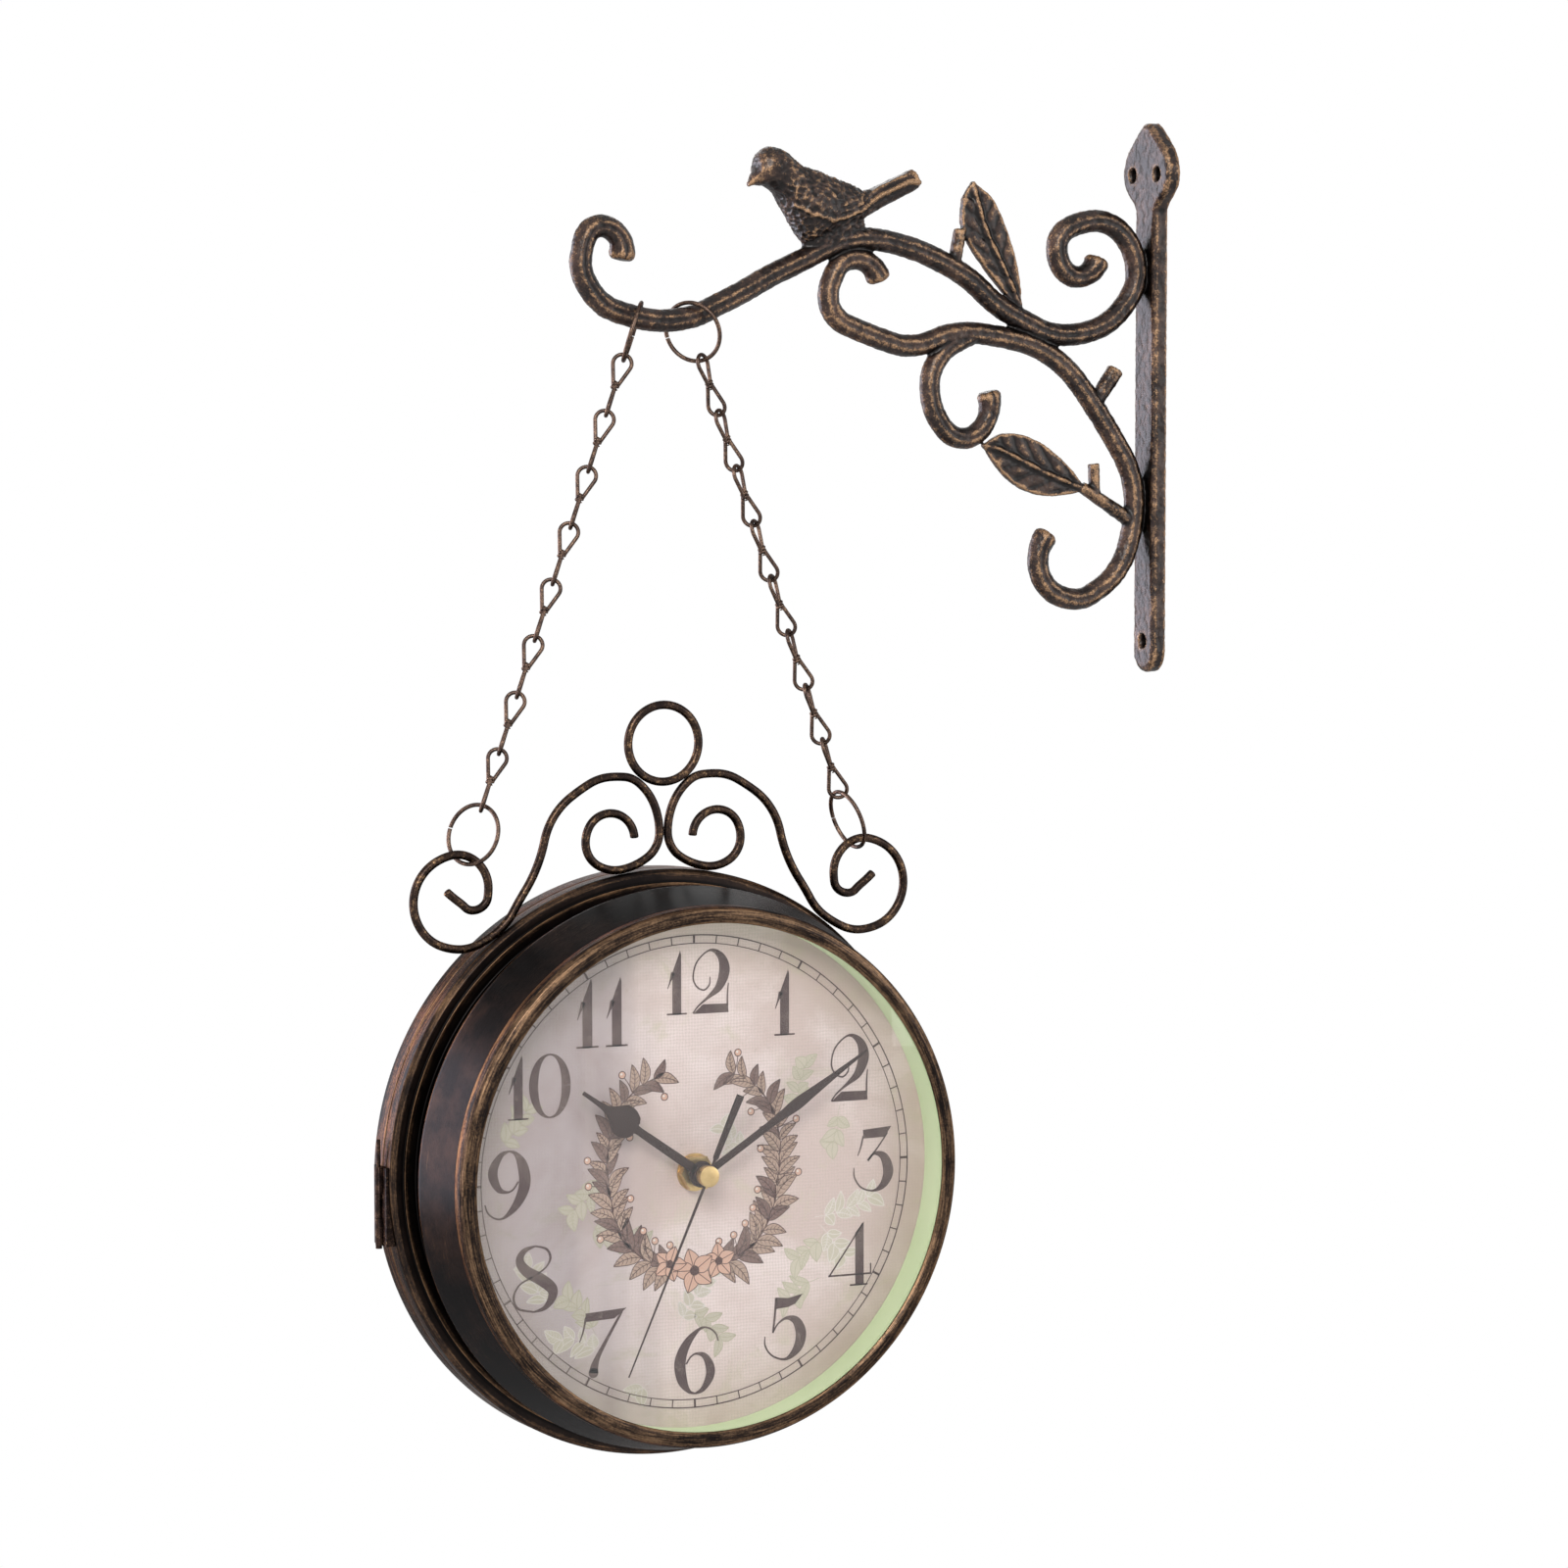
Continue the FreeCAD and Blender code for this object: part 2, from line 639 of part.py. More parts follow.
rear_shell = turned_ring([
    (flange_radius, rear_rim), (flange_radius, rear_back - shoulder), (flange_radius - shoulder, rear_back),
    (rear_neck_radius, rear_back), (rear_end, rear_skirt), (rear_end, rear_stop),
    (rear_end - wall, rear_stop), (rear_end - wall, rear_skirt), (rear_neck_radius - wall, rear_back - wall),
    (spigot_bore, rear_back - wall), (spigot_bore, front_rim - spigot_length),
    (spigot_radius, front_rim - spigot_length), (spigot_radius, rear_rim)])
notch_half = catch_width / 2 + catch_gap
notch_low = (spigot_bore - overrun, front_rim - spigot_length - overrun, -notch_half)
notch_high = (spigot_radius + overrun, rear_rim, notch_half)
saved_on_clock("rear_shell", rear_shell.cut(box_between(notch_low, notch_high)))

# Spring catch at three o'clock, on the rear half
plate_high = spigot_bore - catch_gap
catch_from = front_rim - spigot_length + catch_gap
catch = box_between((plate_high - catch_thick, catch_from, -catch_width / 2),
                    (plate_high, catch_from + catch_length, catch_width / 2))
nose_at = FreeCAD.Vector(spigot_radius + run_fit - catch_nose, catch_from + catch_rise, -catch_width / 2)
catch = catch.fuse(Part.makeCylinder(catch_nose, catch_width, nose_at, along_z))
saved_on_clock("case_catch", catch)

# Hinge at nine o'clock, its axis upright in the parting plane
clear_of_knuckle = knuckle_radius + knuckle_gap
axis_x = -flange_radius - clear_of_knuckle
hinge_bottom = -hinge_low - hinge_height / 2
hinge_top = hinge_bottom + hinge_height
outer_third = hinge_height * knuckle_share
flange_cutter = disc(flange_radius + seat_gap, -front_face, rear_face)


def upright_rod(radius, low, high):
    return Part.makeCylinder(radius, high - low, FreeCAD.Vector(axis_x, part_y, low), along_z)


def hinge_leaf(side, spans):
    near = part_y + side * clear_of_knuckle
    far = near + side * leaf_depth
    bend = near + side * leaf_inset
    inner = leaf_bite - flange_radius
    block_low = (axis_x + leaf_inset, min(near, far), hinge_bottom)
    block = box_between(block_low, (inner, max(near, far), hinge_top))
    pieces = []
    for low, high in spans:
        pieces.append(upright_rod(knuckle_radius, low, high))
        pieces.append(box_between((axis_x - leaf_inset, min(bend, part_y), low),
                                  (-flange_radius, max(bend, part_y), high)))
    leaf = block.multiFuse(pieces).cut(flange_cutter)
    return leaf.cut(upright_rod(hinge_pin_radius + run_fit, hinge_bottom - overrun, hinge_top + overrun))


front_spans = [(hinge_bottom, hinge_bottom + outer_third), (hinge_top - outer_third, hinge_top)]
rear_spans = [(hinge_bottom + outer_third + knuckle_gap, hinge_top - outer_third - knuckle_gap)]
saved_on_clock("hinge_leaf_front", hinge_leaf(-1, front_spans))
saved_on_clock("hinge_leaf_rear", hinge_leaf(1, rear_spans))
pin = upright_rod(hinge_pin_radius, hinge_bottom - seat_gap - pin_head, hinge_top + pin_above)
head = upright_rod(pin_head_radius, hinge_bottom - seat_gap - pin_head, hinge_bottom - seat_gap)
saved_on_clock("hinge_pin", pin.fuse(head))


# One side's bezel, glass, reveal, dial, movement and hands; side is -1 at the front, 1 at the rear
class Side:
    def __init__(self, name, side, face, radius):
        self.name = name
        self.side = side
        self.face = face
        self.radius = radius
        self.opening = radius - bezel_width
        self.seat = self.opening + glass_lap
        self.reveal = self.opening + reveal_step
        self.glass_sink = bezel_lip + seat_gap
        self.reveal_sink = self.glass_sink + glass_thick + seat_gap
        self.dial_sink = self.reveal_sink + reveal_depth + seat_gap
        self.back_sink = self.dial_sink + dial_thick + seat_gap
        self.dial_radius = self.reveal + dial_overhang
        self.bore = hour_pipe_radius + run_fit

    def y(self, sink):
        return self.side * (self.face - sink)

    def turned(self, profile):
        return turned_ring([(radius, self.y(sink)) for radius, sink in profile])

    def disc(self, radius, start, end, x=0, z=0):
        return disc(radius, self.y(start), self.y(end), x, z)

    def box(self, low, high, start, end):
        near = min(self.y(start), self.y(end))
        far = max(self.y(start), self.y(end))
        return box_between((low[0], near, low[1]), (high[0], far, high[1]))

    def save(self, piece, shape):
        saved_on_clock(self.name + "_" + piece, shape)

    def flat_piece(self, corners, start, end):
        points = [FreeCAD.Vector(x, self.y(start), z) for x, z in corners]
        face = Part.Face(closed_wire(points))
        return face.extrude(along_y * (self.y(end) - self.y(start)))

    def polygon(self, radius, sides):
        turns = [math.tau * i / sides for i in range(sides)]
        return [(radius * math.cos(a), radius * math.sin(a)) for a in turns]


def make_front_stack(s):
    skirt = s.radius - bezel_skirt
    s.save("bezel", s.turned([
        (s.opening, bead_drop), (s.opening + bead_width, 0), (s.radius, bead_slope), (s.radius, bezel_height),
        (skirt, bezel_height), (skirt, bezel_stop), (s.seat, bezel_stop), (s.seat, bezel_lip),
        (s.opening, bezel_lip)]))
    rim = s.seat - seat_gap
    s.save("glass", s.disc(rim, s.glass_sink, s.glass_sink + glass_thick))
    outer = s.reveal + reveal_wall
    top = s.reveal_sink
    s.save("reveal_ring", s.turned([
        (s.reveal, top), (rim, top), (rim, top + reveal_wall), (outer, top + reveal_wall),
        (outer, top + reveal_depth), (s.reveal, top + reveal_depth)]))
    dial = s.disc(s.dial_radius, s.dial_sink, s.dial_sink + dial_thick)
    hole = s.disc(bush_radius + bush_gap, s.dial_sink - overrun, s.dial_sink + dial_thick + overrun)
    s.save("dial", dial.cut(hole))


def make_clips(s, wall_radius, length):
    clips = []
    inside = s.dial_radius - clip_finger
    top = s.back_sink
    for number in range(clip_count):
        finger = s.box((inside, -clip_width / 2), (wall_radius, clip_width / 2), top, top + clip_thick)
        foot_from = (wall_radius - clip_thick, -clip_width / 2)
        foot = s.box(foot_from, (wall_radius, clip_width / 2), top, top + length)
        clip = finger.fuse(foot)
        clip.rotate(origin, along_y, 360 * (2 * number + 1) / (2 * clip_count))
        clips.append(clip)
    s.save("dial_clips", Part.makeCompound(clips))


def make_movement(s):
    half = case_side / 2
    top = s.back_sink
    bottom = top + case_deep
    body = s.box((-half, -half), (half, half), top, bottom)
    corners = [edge for edge in body.Edges if edge.BoundBox.YLength > case_deep / 2]
    body = body.makeFillet(case_corner, corners)
    body = body.fuse(s.disc(bush_radius, s.dial_sink - bush_rise, top + bay_margin))
    body = body.cut(s.disc(s.bore, s.dial_sink - bush_rise - overrun, top + arbor_sink + arbor_step))
    bay = battery_radius + battery_gap
    bay_z = bay_margin + bay - half
    bay_x = battery_length / 2 + battery_gap
    body = body.cut(s.box((-bay_x, bay_z - bay), (bay_x, bay_z + bay), bottom - 2 * bay, bottom + overrun))
    stem_z = knob_offset
    stem = s.disc(knob_stem + run_fit, bottom - stem_depth - knob_gap, bottom + overrun, knob_offset, stem_z)
    s.save("movement", body.cut(stem))
    middle = s.y(bottom - bay)
    can = Part.makeCylinder(battery_radius, battery_length - terminal_length,
                            FreeCAD.Vector(-battery_length / 2, middle, bay_z), along_x)
    cap = Part.makeCylinder(terminal_radius, terminal_length,
                            FreeCAD.Vector(battery_length / 2 - terminal_length, middle, bay_z), along_x)
    s.save("battery", can.fuse(cap))
    grip = s.flat_piece([(x + knob_offset, z + stem_z) for x, z in s.polygon(knob_radius, knob_sides)],
                        bottom + knob_gap, bottom + knob_gap + knob_thick)
    rod = s.disc(knob_stem, bottom - stem_depth, bottom + knob_gap + knob_thick, knob_offset, stem_z)
    s.save("set_knob", grip.fuse(rod))


def make_fixings(s):
    hole = s.disc(bush_radius + run_fit, s.dial_sink - bush_rise - overrun, s.dial_sink)
    top = s.dial_sink - seat_gap
    washer = s.disc(washer_radius, top - washer_thick, top)
    s.save("dial_washer", washer.cut(hole))
    nut_from = top - washer_thick - seat_gap
    corner = nut_flats / 2 / math.cos(math.pi / nut_sides)
    nut = s.flat_piece(s.polygon(corner, nut_sides), nut_from - nut_thick, nut_from)
    s.save("dial_nut", nut.cut(hole))


def hand_plate(s, shares, length, turn, rise):
    angle = -s.side * turn
    right = [(half * length, reach_out * length) for reach_out, half in shares]
    left = [(-x, z) for x, z in reversed(right)]
    corners = [(x * math.cos(angle) + z * math.sin(angle), z * math.cos(angle) - x * math.sin(angle))
               for x, z in right + left]
    return s.flat_piece(corners, s.dial_sink - rise, s.dial_sink - rise + hand_thick)


def make_hands(s):
    hour_turn = math.tau * time_share
    minute_turn = hour_turn * hour_count % math.tau
    second_turn = minute_turn * minute_count % math.tau
    deep = s.back_sink + arbor_sink
    top = s.dial_sink - hour_rise
    plate = hand_plate(s, hour_shares, hour_length, hour_turn, hour_rise)
    boss = s.disc(hour_boss_share * hour_length, top, top + hand_thick)
    bulb_out = hour_bulb_share * hour_length
    bulb_x = -s.side * bulb_out * math.sin(hour_turn)
    bulb_z = bulb_out * math.cos(hour_turn)
    bulb = s.disc(bulb_radius_share * hour_length, top, top + hand_thick, bulb_x, bulb_z)
    pipe = s.disc(hour_pipe_radius, top, deep - 2 * arbor_step)
    bore = s.disc(minute_arbor_radius + run_fit, top - overrun, deep)
    s.save("hour_hand", plate.multiFuse([boss, bulb, pipe]).cut(bore))

    top = s.dial_sink - minute_rise
    nut_top = top - seat_gap - hand_nut_thick
    plate = hand_plate(s, minute_shares, minute_length, minute_turn, minute_rise)
    boss = s.disc(minute_boss_share * minute_length, top, top + hand_thick)
    arbor = s.disc(minute_arbor_radius, nut_top, deep - arbor_step)
    bore = s.disc(second_arbor_radius + run_fit, nut_top - overrun, deep)
    s.save("minute_hand", plate.multiFuse([boss, arbor]).cut(bore))
    nut = s.disc(hand_nut_radius, nut_top, top - seat_gap)
    s.save("hand_nut", nut.cut(s.disc(minute_arbor_radius + run_fit, nut_top - overrun, top)))

    top = s.dial_sink - second_rise
    plate = hand_plate(s, second_shares, second_tail, second_turn, second_rise)
    boss = s.disc(second_boss_share * second_tail, top, top + hand_thick)
    arbor = s.disc(second_arbor_radius, top, deep)
    s.save("second_hand", plate.multiFuse([boss, arbor]))


front = Side("front", -1, front_face, front_bezel_radius)
rear = Side("rear", 1, rear_face, rear_bezel_radius)
rear_fall = (rear_neck_radius - rear_end) / (rear_skirt - rear_back + wall)
clip_height = rear.y(rear.back_sink) - rear_back + wall
clip_radius_rear = rear_neck_radius - wall - rear_fall * clip_height - clip_gap
for clock_side, clip_radius, clip_reach in ((front, clip_radius_front, front_clip_reach),
                                            (rear, clip_radius_rear, rear_clip_reach)):
    make_front_stack(clock_side)
    make_clips(clock_side, clip_radius, clip_reach)
    make_movement(clock_side)
    make_fixings(clock_side)
    make_hands(clock_side)
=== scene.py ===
import itertools
import math
import random

import bmesh
import bpy
import numpy as np
from mathutils import Matrix, Vector, noise


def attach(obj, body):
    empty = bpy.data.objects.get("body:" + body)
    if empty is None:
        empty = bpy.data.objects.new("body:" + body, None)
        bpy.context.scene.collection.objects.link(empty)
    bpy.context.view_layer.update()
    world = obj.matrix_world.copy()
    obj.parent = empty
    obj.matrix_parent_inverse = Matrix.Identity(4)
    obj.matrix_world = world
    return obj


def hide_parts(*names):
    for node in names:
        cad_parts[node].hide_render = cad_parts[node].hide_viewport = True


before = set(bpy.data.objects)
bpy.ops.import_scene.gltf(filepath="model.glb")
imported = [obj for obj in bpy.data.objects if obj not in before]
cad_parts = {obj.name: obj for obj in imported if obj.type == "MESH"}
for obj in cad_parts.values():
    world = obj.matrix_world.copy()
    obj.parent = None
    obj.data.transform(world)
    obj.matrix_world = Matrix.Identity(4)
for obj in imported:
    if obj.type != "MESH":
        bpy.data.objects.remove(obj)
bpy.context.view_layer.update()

# Sizes in millimetres, as in the part's source; meshes are scaled to metres when they are made
MM = 0.001
REACH = 210.0
DROP = 371.0
PLATE_HEIGHT = 212.0
PLATE_ABOVE = 20.0
PLATE_WIDTH = 16.0
PLATE_THICK = 6.0
SCREW_SPACING = 18.8
SCREW_RADIUS = 2.4
LOW_SCREW_RISE = 12.0
RING_SPREAD = 20.8
SEAT_DROP = 55.7
RING_DIAMETER = 24.0
RING_WIRE = 1.6
CROWN_WIRE = 3.2
CROWN_RING_DIAMETER = 31.9
LINK_COUNT = 8
LINK_WIRE = 1.5
EYE_WIDTH = 8.4
FLANGE_RADIUS = 110.4
SEAT_GAP = 0.1
HOOK_WIDTH = 8.6
CLOCK = Vector((-REACH, 0, -DROP))

# Outlines as shares: outwards from the arms' root on the plate, upwards over the plate height
ARM_ROOT = PLATE_THICK + HOOK_WIDTH / 2 - 0.85
HOOK_TIP = [(1.0820, -0.154), (1.1246, -0.105), (1.1644, -0.165), (1.1351, -0.228)]
HOOK_RUN = [(0.8743, -0.234), (0.7529, -0.177), (0.5916, -0.122), (0.4817, -0.139), (0.3843, -0.179),
            (0.2796, -0.250), (0.1518, -0.291), (0.0429, -0.254), (0.0, -0.179), (0.0974, -0.085),
            (0.1738, -0.138), (0.1319, -0.186), (0.0880, -0.160)]
STAY = [(0.5560, -0.189), (0.6157, -0.158), (0.6576, -0.208), (0.5267, -0.306), (0.3518, -0.288),
        (0.1738, -0.336), (0.0880, -0.424), (0.0021, -0.600), (0.0681, -0.745), (0.1319, -0.770),
        (0.2105, -0.715), (0.1969, -0.656)]
CURL = [(0.3517, -0.289), (0.3780, -0.299), (0.4188, -0.323), (0.4461, -0.385), (0.3414, -0.465),
        (0.3194, -0.401)]
TWIGS = [[(0.3979, -0.185), (0.3822, -0.105)], [(0.1180, -0.566), (0.0178, -0.624)],
         [(0.0918, -0.524), (0.0885, -0.580)], [(0.0880, -0.412), (0.0450, -0.355)]]
# Width and depth of each twig in millimetres, and the swell at its end
TWIG_SIZES = [(5.0, 5.6, 1.0), (4.6, 5.4, 1.25), (4.4, 5.0, 0.95), (6.2, 6.0, 1.12)]
LEAF_TIPS = [(0.3556, -0.016), (0.3355, -0.489)]
LEAF_STEMS = [(0.2490, -0.252), (0.1074, -0.572)]
LEAF_DOWN = [[(0.3770, -0.048), (0.3790, -0.098), (0.3550, -0.143), (0.3000, -0.205)],
             [(0.2872, -0.468), (0.2200, -0.480), (0.1548, -0.523)]]
LEAF_UP = [[(0.2584, -0.182), (0.2760, -0.122), (0.3100, -0.054)],
           [(0.1600, -0.581), (0.2239, -0.578), (0.2820, -0.549)]]
BIRD = [(0.4863, 0.002, 0.4703, -0.031, 0.34), (0.5809, -0.037, 0.5745, -0.079, 0.45),
        (0.6154, -0.030, 0.6059, -0.095, 0.70), (0.6873, -0.006, 0.6810, -0.123, 1.00),
        (0.7215, 0.003, 0.7109, -0.127, 0.98), (0.7420, 0.018, 0.7382, -0.088, 0.90),
        (0.7587, 0.032, 0.7680, -0.047, 0.80), (0.7865, 0.037, 0.7939, -0.032, 0.74),
        (0.8055, 0.024, 0.8060, -0.031, 0.58), (0.8100, 0.004, 0.8140, -0.030, 0.40),
        (0.8260, -0.026, 0.8270, -0.034, 0.14)]
BIRD_FOOT = [(0.7180, -0.105), (0.7130, -0.154), (0.5807, -0.112), (0.5900, -0.075)]
# Sizes on the casting in millimetres, and points in x and z
BIRD_DEPTH = 19.0
VEIN_STEP = 7.4
WING_EDGE = [(-166.0, -5.0), (-160.0, -13.0), (-152.8, -17.6), (-143.7, -19.7), (-131.2, -15.8),
             (-122.0, -10.5), (-109.3, -5.1)]
EYE = (-171.4, 3.6)
BIRD_SPAN = (-180, -100)
BIRD_RISE = (-30, 14)
WING_SPAN = (-164, -104)
BELLY = ([-180, -160, -140, -100], [-10, -27, -28, -16])
QUILL_RISES = (0.5, 2.9, 5.0)
FEATHER_HEIGHT, WING_HEIGHT, WING_RIM, QUILL_HEIGHT, EYE_RING, EYE_DOT = 0.55, 0.55, 0.65, 0.5, 0.22, 0.2
HAMMERING = ((0.15, 950.0), (0.18, 330.0))

# Crown outlines as shares of the flange radius: outwards and upwards from the clock's axis
CROWN_TAIL = [(0.788, 0.953), (0.745, 0.918), (0.700, 0.889), (0.655, 0.905), (0.640, 0.960)]
CROWN_HOOK = (0.718, 1.071)
CROWN_RUN = [(0.827, 1.055), (0.907, 0.937), (0.862, 0.808), (0.752, 0.761)]
CROWN_FOOT = 0.605
CROWN_MID = [(0.508, 0.945), (0.343, 1.252), (0.198, 1.317)]
CROWN_SEAT = (0.096, 1.297)
CROWN_INNER = 1.125
CROWN_TOE = 0.155
CROWN_END = [(0.287, 1.095), (0.234, 1.187), (0.108, 1.112)]


# Materials
class Nodes:
    """A node tree with short calls for its nodes."""

    def __init__(self, tree):
        self.tree = tree

    def node(self, kind, **values):
        made = self.tree.nodes.new(kind)
        for key, value in values.items():
            setattr(made, key, value)
        return made

    def put(self, socket, value):
        if hasattr(value, "is_output"):
            self.tree.links.new(value, socket)
        else:
            socket.default_value = value

    def fill(self, made, **inputs):
        """Numbers or links for a node's inputs, with _ for each space in an input's name."""
        for name, value in inputs.items():
            self.put(made.inputs[name.replace("_", " ")], value)
        return made

    def math(self, operation, a, b=0.0):
        made = self.node("ShaderNodeMath", operation=operation)
        self.put(made.inputs[0], a)
        self.put(made.inputs[1], b)
        return made.outputs[0]

    def total(self, a, share_a, b, share_b):
        """The sum of two values, each times its share."""
        return self.math("ADD", self.math("MULTIPLY", a, share_a), self.math("MULTIPLY", b, share_b))

    def white_rays(self):
        """1 for the rays that see the white background in full: camera, glossy and transmission."""
        path = self.node("ShaderNodeLightPath")
        seen = self.math("MAXIMUM", path.outputs["Is Camera Ray"], path.outputs["Is Glossy Ray"])
        return self.math("MAXIMUM", seen, path.outputs["Is Transmission Ray"])


class Shade(Nodes):
    """A Principled material."""

    def __init__(self, name, **constants):
        self.mat = bpy.data.materials.new(name)
        self.mat.use_nodes = True
        super().__init__(self.mat.node_tree)
        self.bsdf = self.fill(self.tree.nodes["Principled BSDF"], **constants)
        self.coords = self.node("ShaderNodeTexCoord").outputs["Object"]

    def noise(self, scale, detail, rough, vector=None, distortion=0.0):
        made = self.fill(self.node("ShaderNodeTexNoise"), Vector=vector or self.coords, Scale=scale,
                         Detail=detail, Roughness=rough, Distortion=distortion)
        return made.outputs["Fac"]

    def bands(self, scale, direction, distortion):
        made = self.fill(self.node("ShaderNodeTexWave", bands_direction=direction), Vector=self.coords,
                         Scale=scale, Distortion=distortion, Detail=2.0)
        return made.outputs["Fac"]

    def step(self, value, low, high, to_low=0.0, to_high=1.0):
        made = self.fill(self.node("ShaderNodeMapRange", interpolation_type="SMOOTHSTEP"), Value=value,
                         From_Min=low, From_Max=high, To_Min=to_low, To_Max=to_high)
        return made.outputs["Result"]

    def mix(self, factor, a, b, blend="MIX"):
        made = self.node("ShaderNodeMix", data_type="RGBA", blend_type=blend)
        self.put(made.inputs["Factor"], factor)
        for socket, colour in ((made.inputs[6], a), (made.inputs[7], b)):
            self.put(socket, colour if hasattr(colour, "is_output") else (*colour, 1.0))
        return made.outputs[2]

    def washed(self, base, value, low, high, most, tint, blend="MIX"):
        """A tint over the base, from none to its most as a value goes from low to high."""
        return self.mix(self.step(value, low, high, 0.0, most), base, tint, blend)

    def attribute(self, name, output="Fac"):
        return self.node("ShaderNodeAttribute", attribute_name=name).outputs[output]

    def vector_math(self, operation, numbers, output):
        made = self.node("ShaderNodeVectorMath", operation=operation)
        self.put(made.inputs[0], self.coords)
        self.put(made.inputs[1], numbers)
        return made.outputs[output]

    def from_clock(self):
        """Sideways, depth and height from the clock's middle, and the distance from its axis."""
        split = self.node("ShaderNodeSeparateXYZ")
        self.put(split.inputs[0], self.coords)
        x = self.math("SUBTRACT", split.outputs["X"], CLOCK.x * MM)
        z = self.math("SUBTRACT", split.outputs["Z"], CLOCK.z * MM)
        return x, split.outputs["Y"], z, self.math("SQRT", self.total(x, x, z, z))

    def round_the_clock(self, along, across):
        """Coordinates that run round the drum, so that brush strokes follow its turning."""
        x, depth, z, radius = self.from_clock()
        joined = self.node("ShaderNodeCombineXYZ")
        scaled = ((self.math("ARCTAN2", z, x), along), (depth, across), (radius, across))
        for socket, (value, scale) in zip(joined.inputs, scaled):
            self.put(socket, self.math("MULTIPLY", value, scale))
        return joined.outputs[0]

    def colour(self, value):
        self.put(self.bsdf.inputs["Base Color"], value)

    def rough(self, value):
        self.put(self.bsdf.inputs["Roughness"], value)

    def bump(self, height, strength, distance):
        made = self.fill(self.node("ShaderNodeBump"), Height=height, Strength=strength, Distance=distance)
        self.put(self.bsdf.inputs["Normal"], made.outputs["Normal"])

    def mixed_with(self, factor, other):
        """The surface goes over from the Principled shader to another one by a factor."""
        choose = self.node("ShaderNodeMixShader")
        for socket, value in zip(choose.inputs, (factor, self.bsdf.outputs[0], other)):
            self.put(socket, value)
        self.put(self.tree.nodes["Material Output"].inputs["Surface"], choose.outputs[0])


def bronze(name, dark, brown, gold, patch, rub_low, rub_high, grain, brushed=0.0, worn=0.5, pits=0.3,
           gloss=0.40, coat=0.3, speck=1.6):
    """Blackened bronze with dry-brushed gold on its ridges, from the mesh's wear attribute and noise."""
    s = Shade(name, Metallic=1.0, Specular_Tint=(0.20, 0.16, 0.15, 1.0), Coat_Weight=coat, Coat_Roughness=0.3)
    clouds = s.noise(patch, 5.0, 0.65)
    fine = s.noise(grain, 3.0, 0.75)
    wear = s.attribute("wear")
    if brushed:
        streaks = s.noise(1.0, 4.0, 0.75, s.round_the_clock(7.0, 1500.0))
        fine = s.total(fine, 1.0 - brushed, streaks, brushed)
    amount = s.total(s.total(wear, worn, clouds, 0.55), 1.0, fine, speck)
    rub = s.step(amount, rub_low, rub_high)
    ground = s.mix(s.step(clouds, 0.35, 0.68), dark, brown)
    rubbed = s.mix(s.step(fine, 0.35, 0.70), tuple(0.5 * c for c in gold), gold)
    base = s.mix(rub, ground, rubbed)
    s.colour(s.mix(s.step(wear, -0.25, -1.0), base, tuple(0.4 * c for c in dark)))
    shine = s.math("MULTIPLY", s.math("SUBTRACT", fine, 0.5), 0.9)
    s.rough(s.math("ADD", s.step(rub, 0.0, 1.0, gloss, gloss - 0.08), shine))
    s.bump(s.total(fine, 1.0, clouds, 0.4), pits, 0.0004)
    return s.mat


def paint(name, low, high, scale, rough_low, rough_high, bump_scale, strength, metallic=0.0, specular=0.5):
    """A plain finish with slight clouding of colour, gloss and surface."""
    s = Shade(name, Metallic=metallic, Specular_IOR_Level=specular)
    clouds = s.noise(scale, 5.0, 0.6)
    grain = s.noise(bump_scale, 3.0, 0.6)
    s.colour(s.mix(s.step(s.total(clouds, 0.7, grain, 0.3), 0.3, 0.7), low, high))
    s.rough(s.step(grain, 0.3, 0.7, rough_low, rough_high))
    s.bump(grain, strength, 0.0002)
    return s.mat


def paper(name, side):
    """Aged paper: pinkish beige with olive stains, with painted shade that greys it towards the viewer's left
    and darkens it at its rim.
    """
    s = Shade(name, Specular_IOR_Level=0.35)
    wash = s.noise(16.0, 5.0, 0.62, distortion=0.6)
    stain = s.noise(38.0, 6.0, 0.7, distortion=1.2)
    speck = s.noise(420.0, 3.0, 0.7)
    x, _, _, radius = s.from_clock()
    # Painted shade: a cool grey darkening towards the viewer's left, its edge broken by vertical streaks
    left_shade_streaks = s.noise(1.0, 2.0, 0.5, s.vector_math("MULTIPLY", (44.0, 1.0, 3.0), "Vector"))
    left = s.total(x, -side, s.math("SUBTRACT", left_shade_streaks, 0.5), 0.085)
    weave = s.math("ADD", s.bands(260.0, "X", 3.0), s.bands(260.0, "Z", 3.0))
    base = s.mix(s.step(wash, 0.36, 0.62), (0.560, 0.438, 0.412), (0.700, 0.590, 0.578))
    base = s.washed(base, stain, 0.52, 0.70, 0.60, (0.515, 0.465, 0.345))
    base = s.washed(base, stain, 0.46, 0.28, 0.45, (0.590, 0.460, 0.445))
    # Painted shade laid over the viewer's left of the dial
    base = s.washed(base, left, -0.006, -0.050, 1.0, (0.520, 0.520, 0.565), "MULTIPLY")
    # Painted shade: darker towards the rim, where the bezel and reveal shade the sunk dial
    base = s.washed(base, radius, 0.066, 0.094, 0.75, (0.80, 0.76, 0.71), "MULTIPLY")
    base = s.washed(base, weave, 0.4, 1.7, 0.36, (0.40, 0.34, 0.30))
    s.colour(s.washed(base, speck, 0.60, 0.78, 0.35, (0.34, 0.27, 0.21)))
    s.rough(s.step(speck, 0.3, 0.7, 0.62, 0.75))
    s.bump(s.total(weave, 0.4, speck, 1.0), 0.15, 0.0001)
    return s.mat


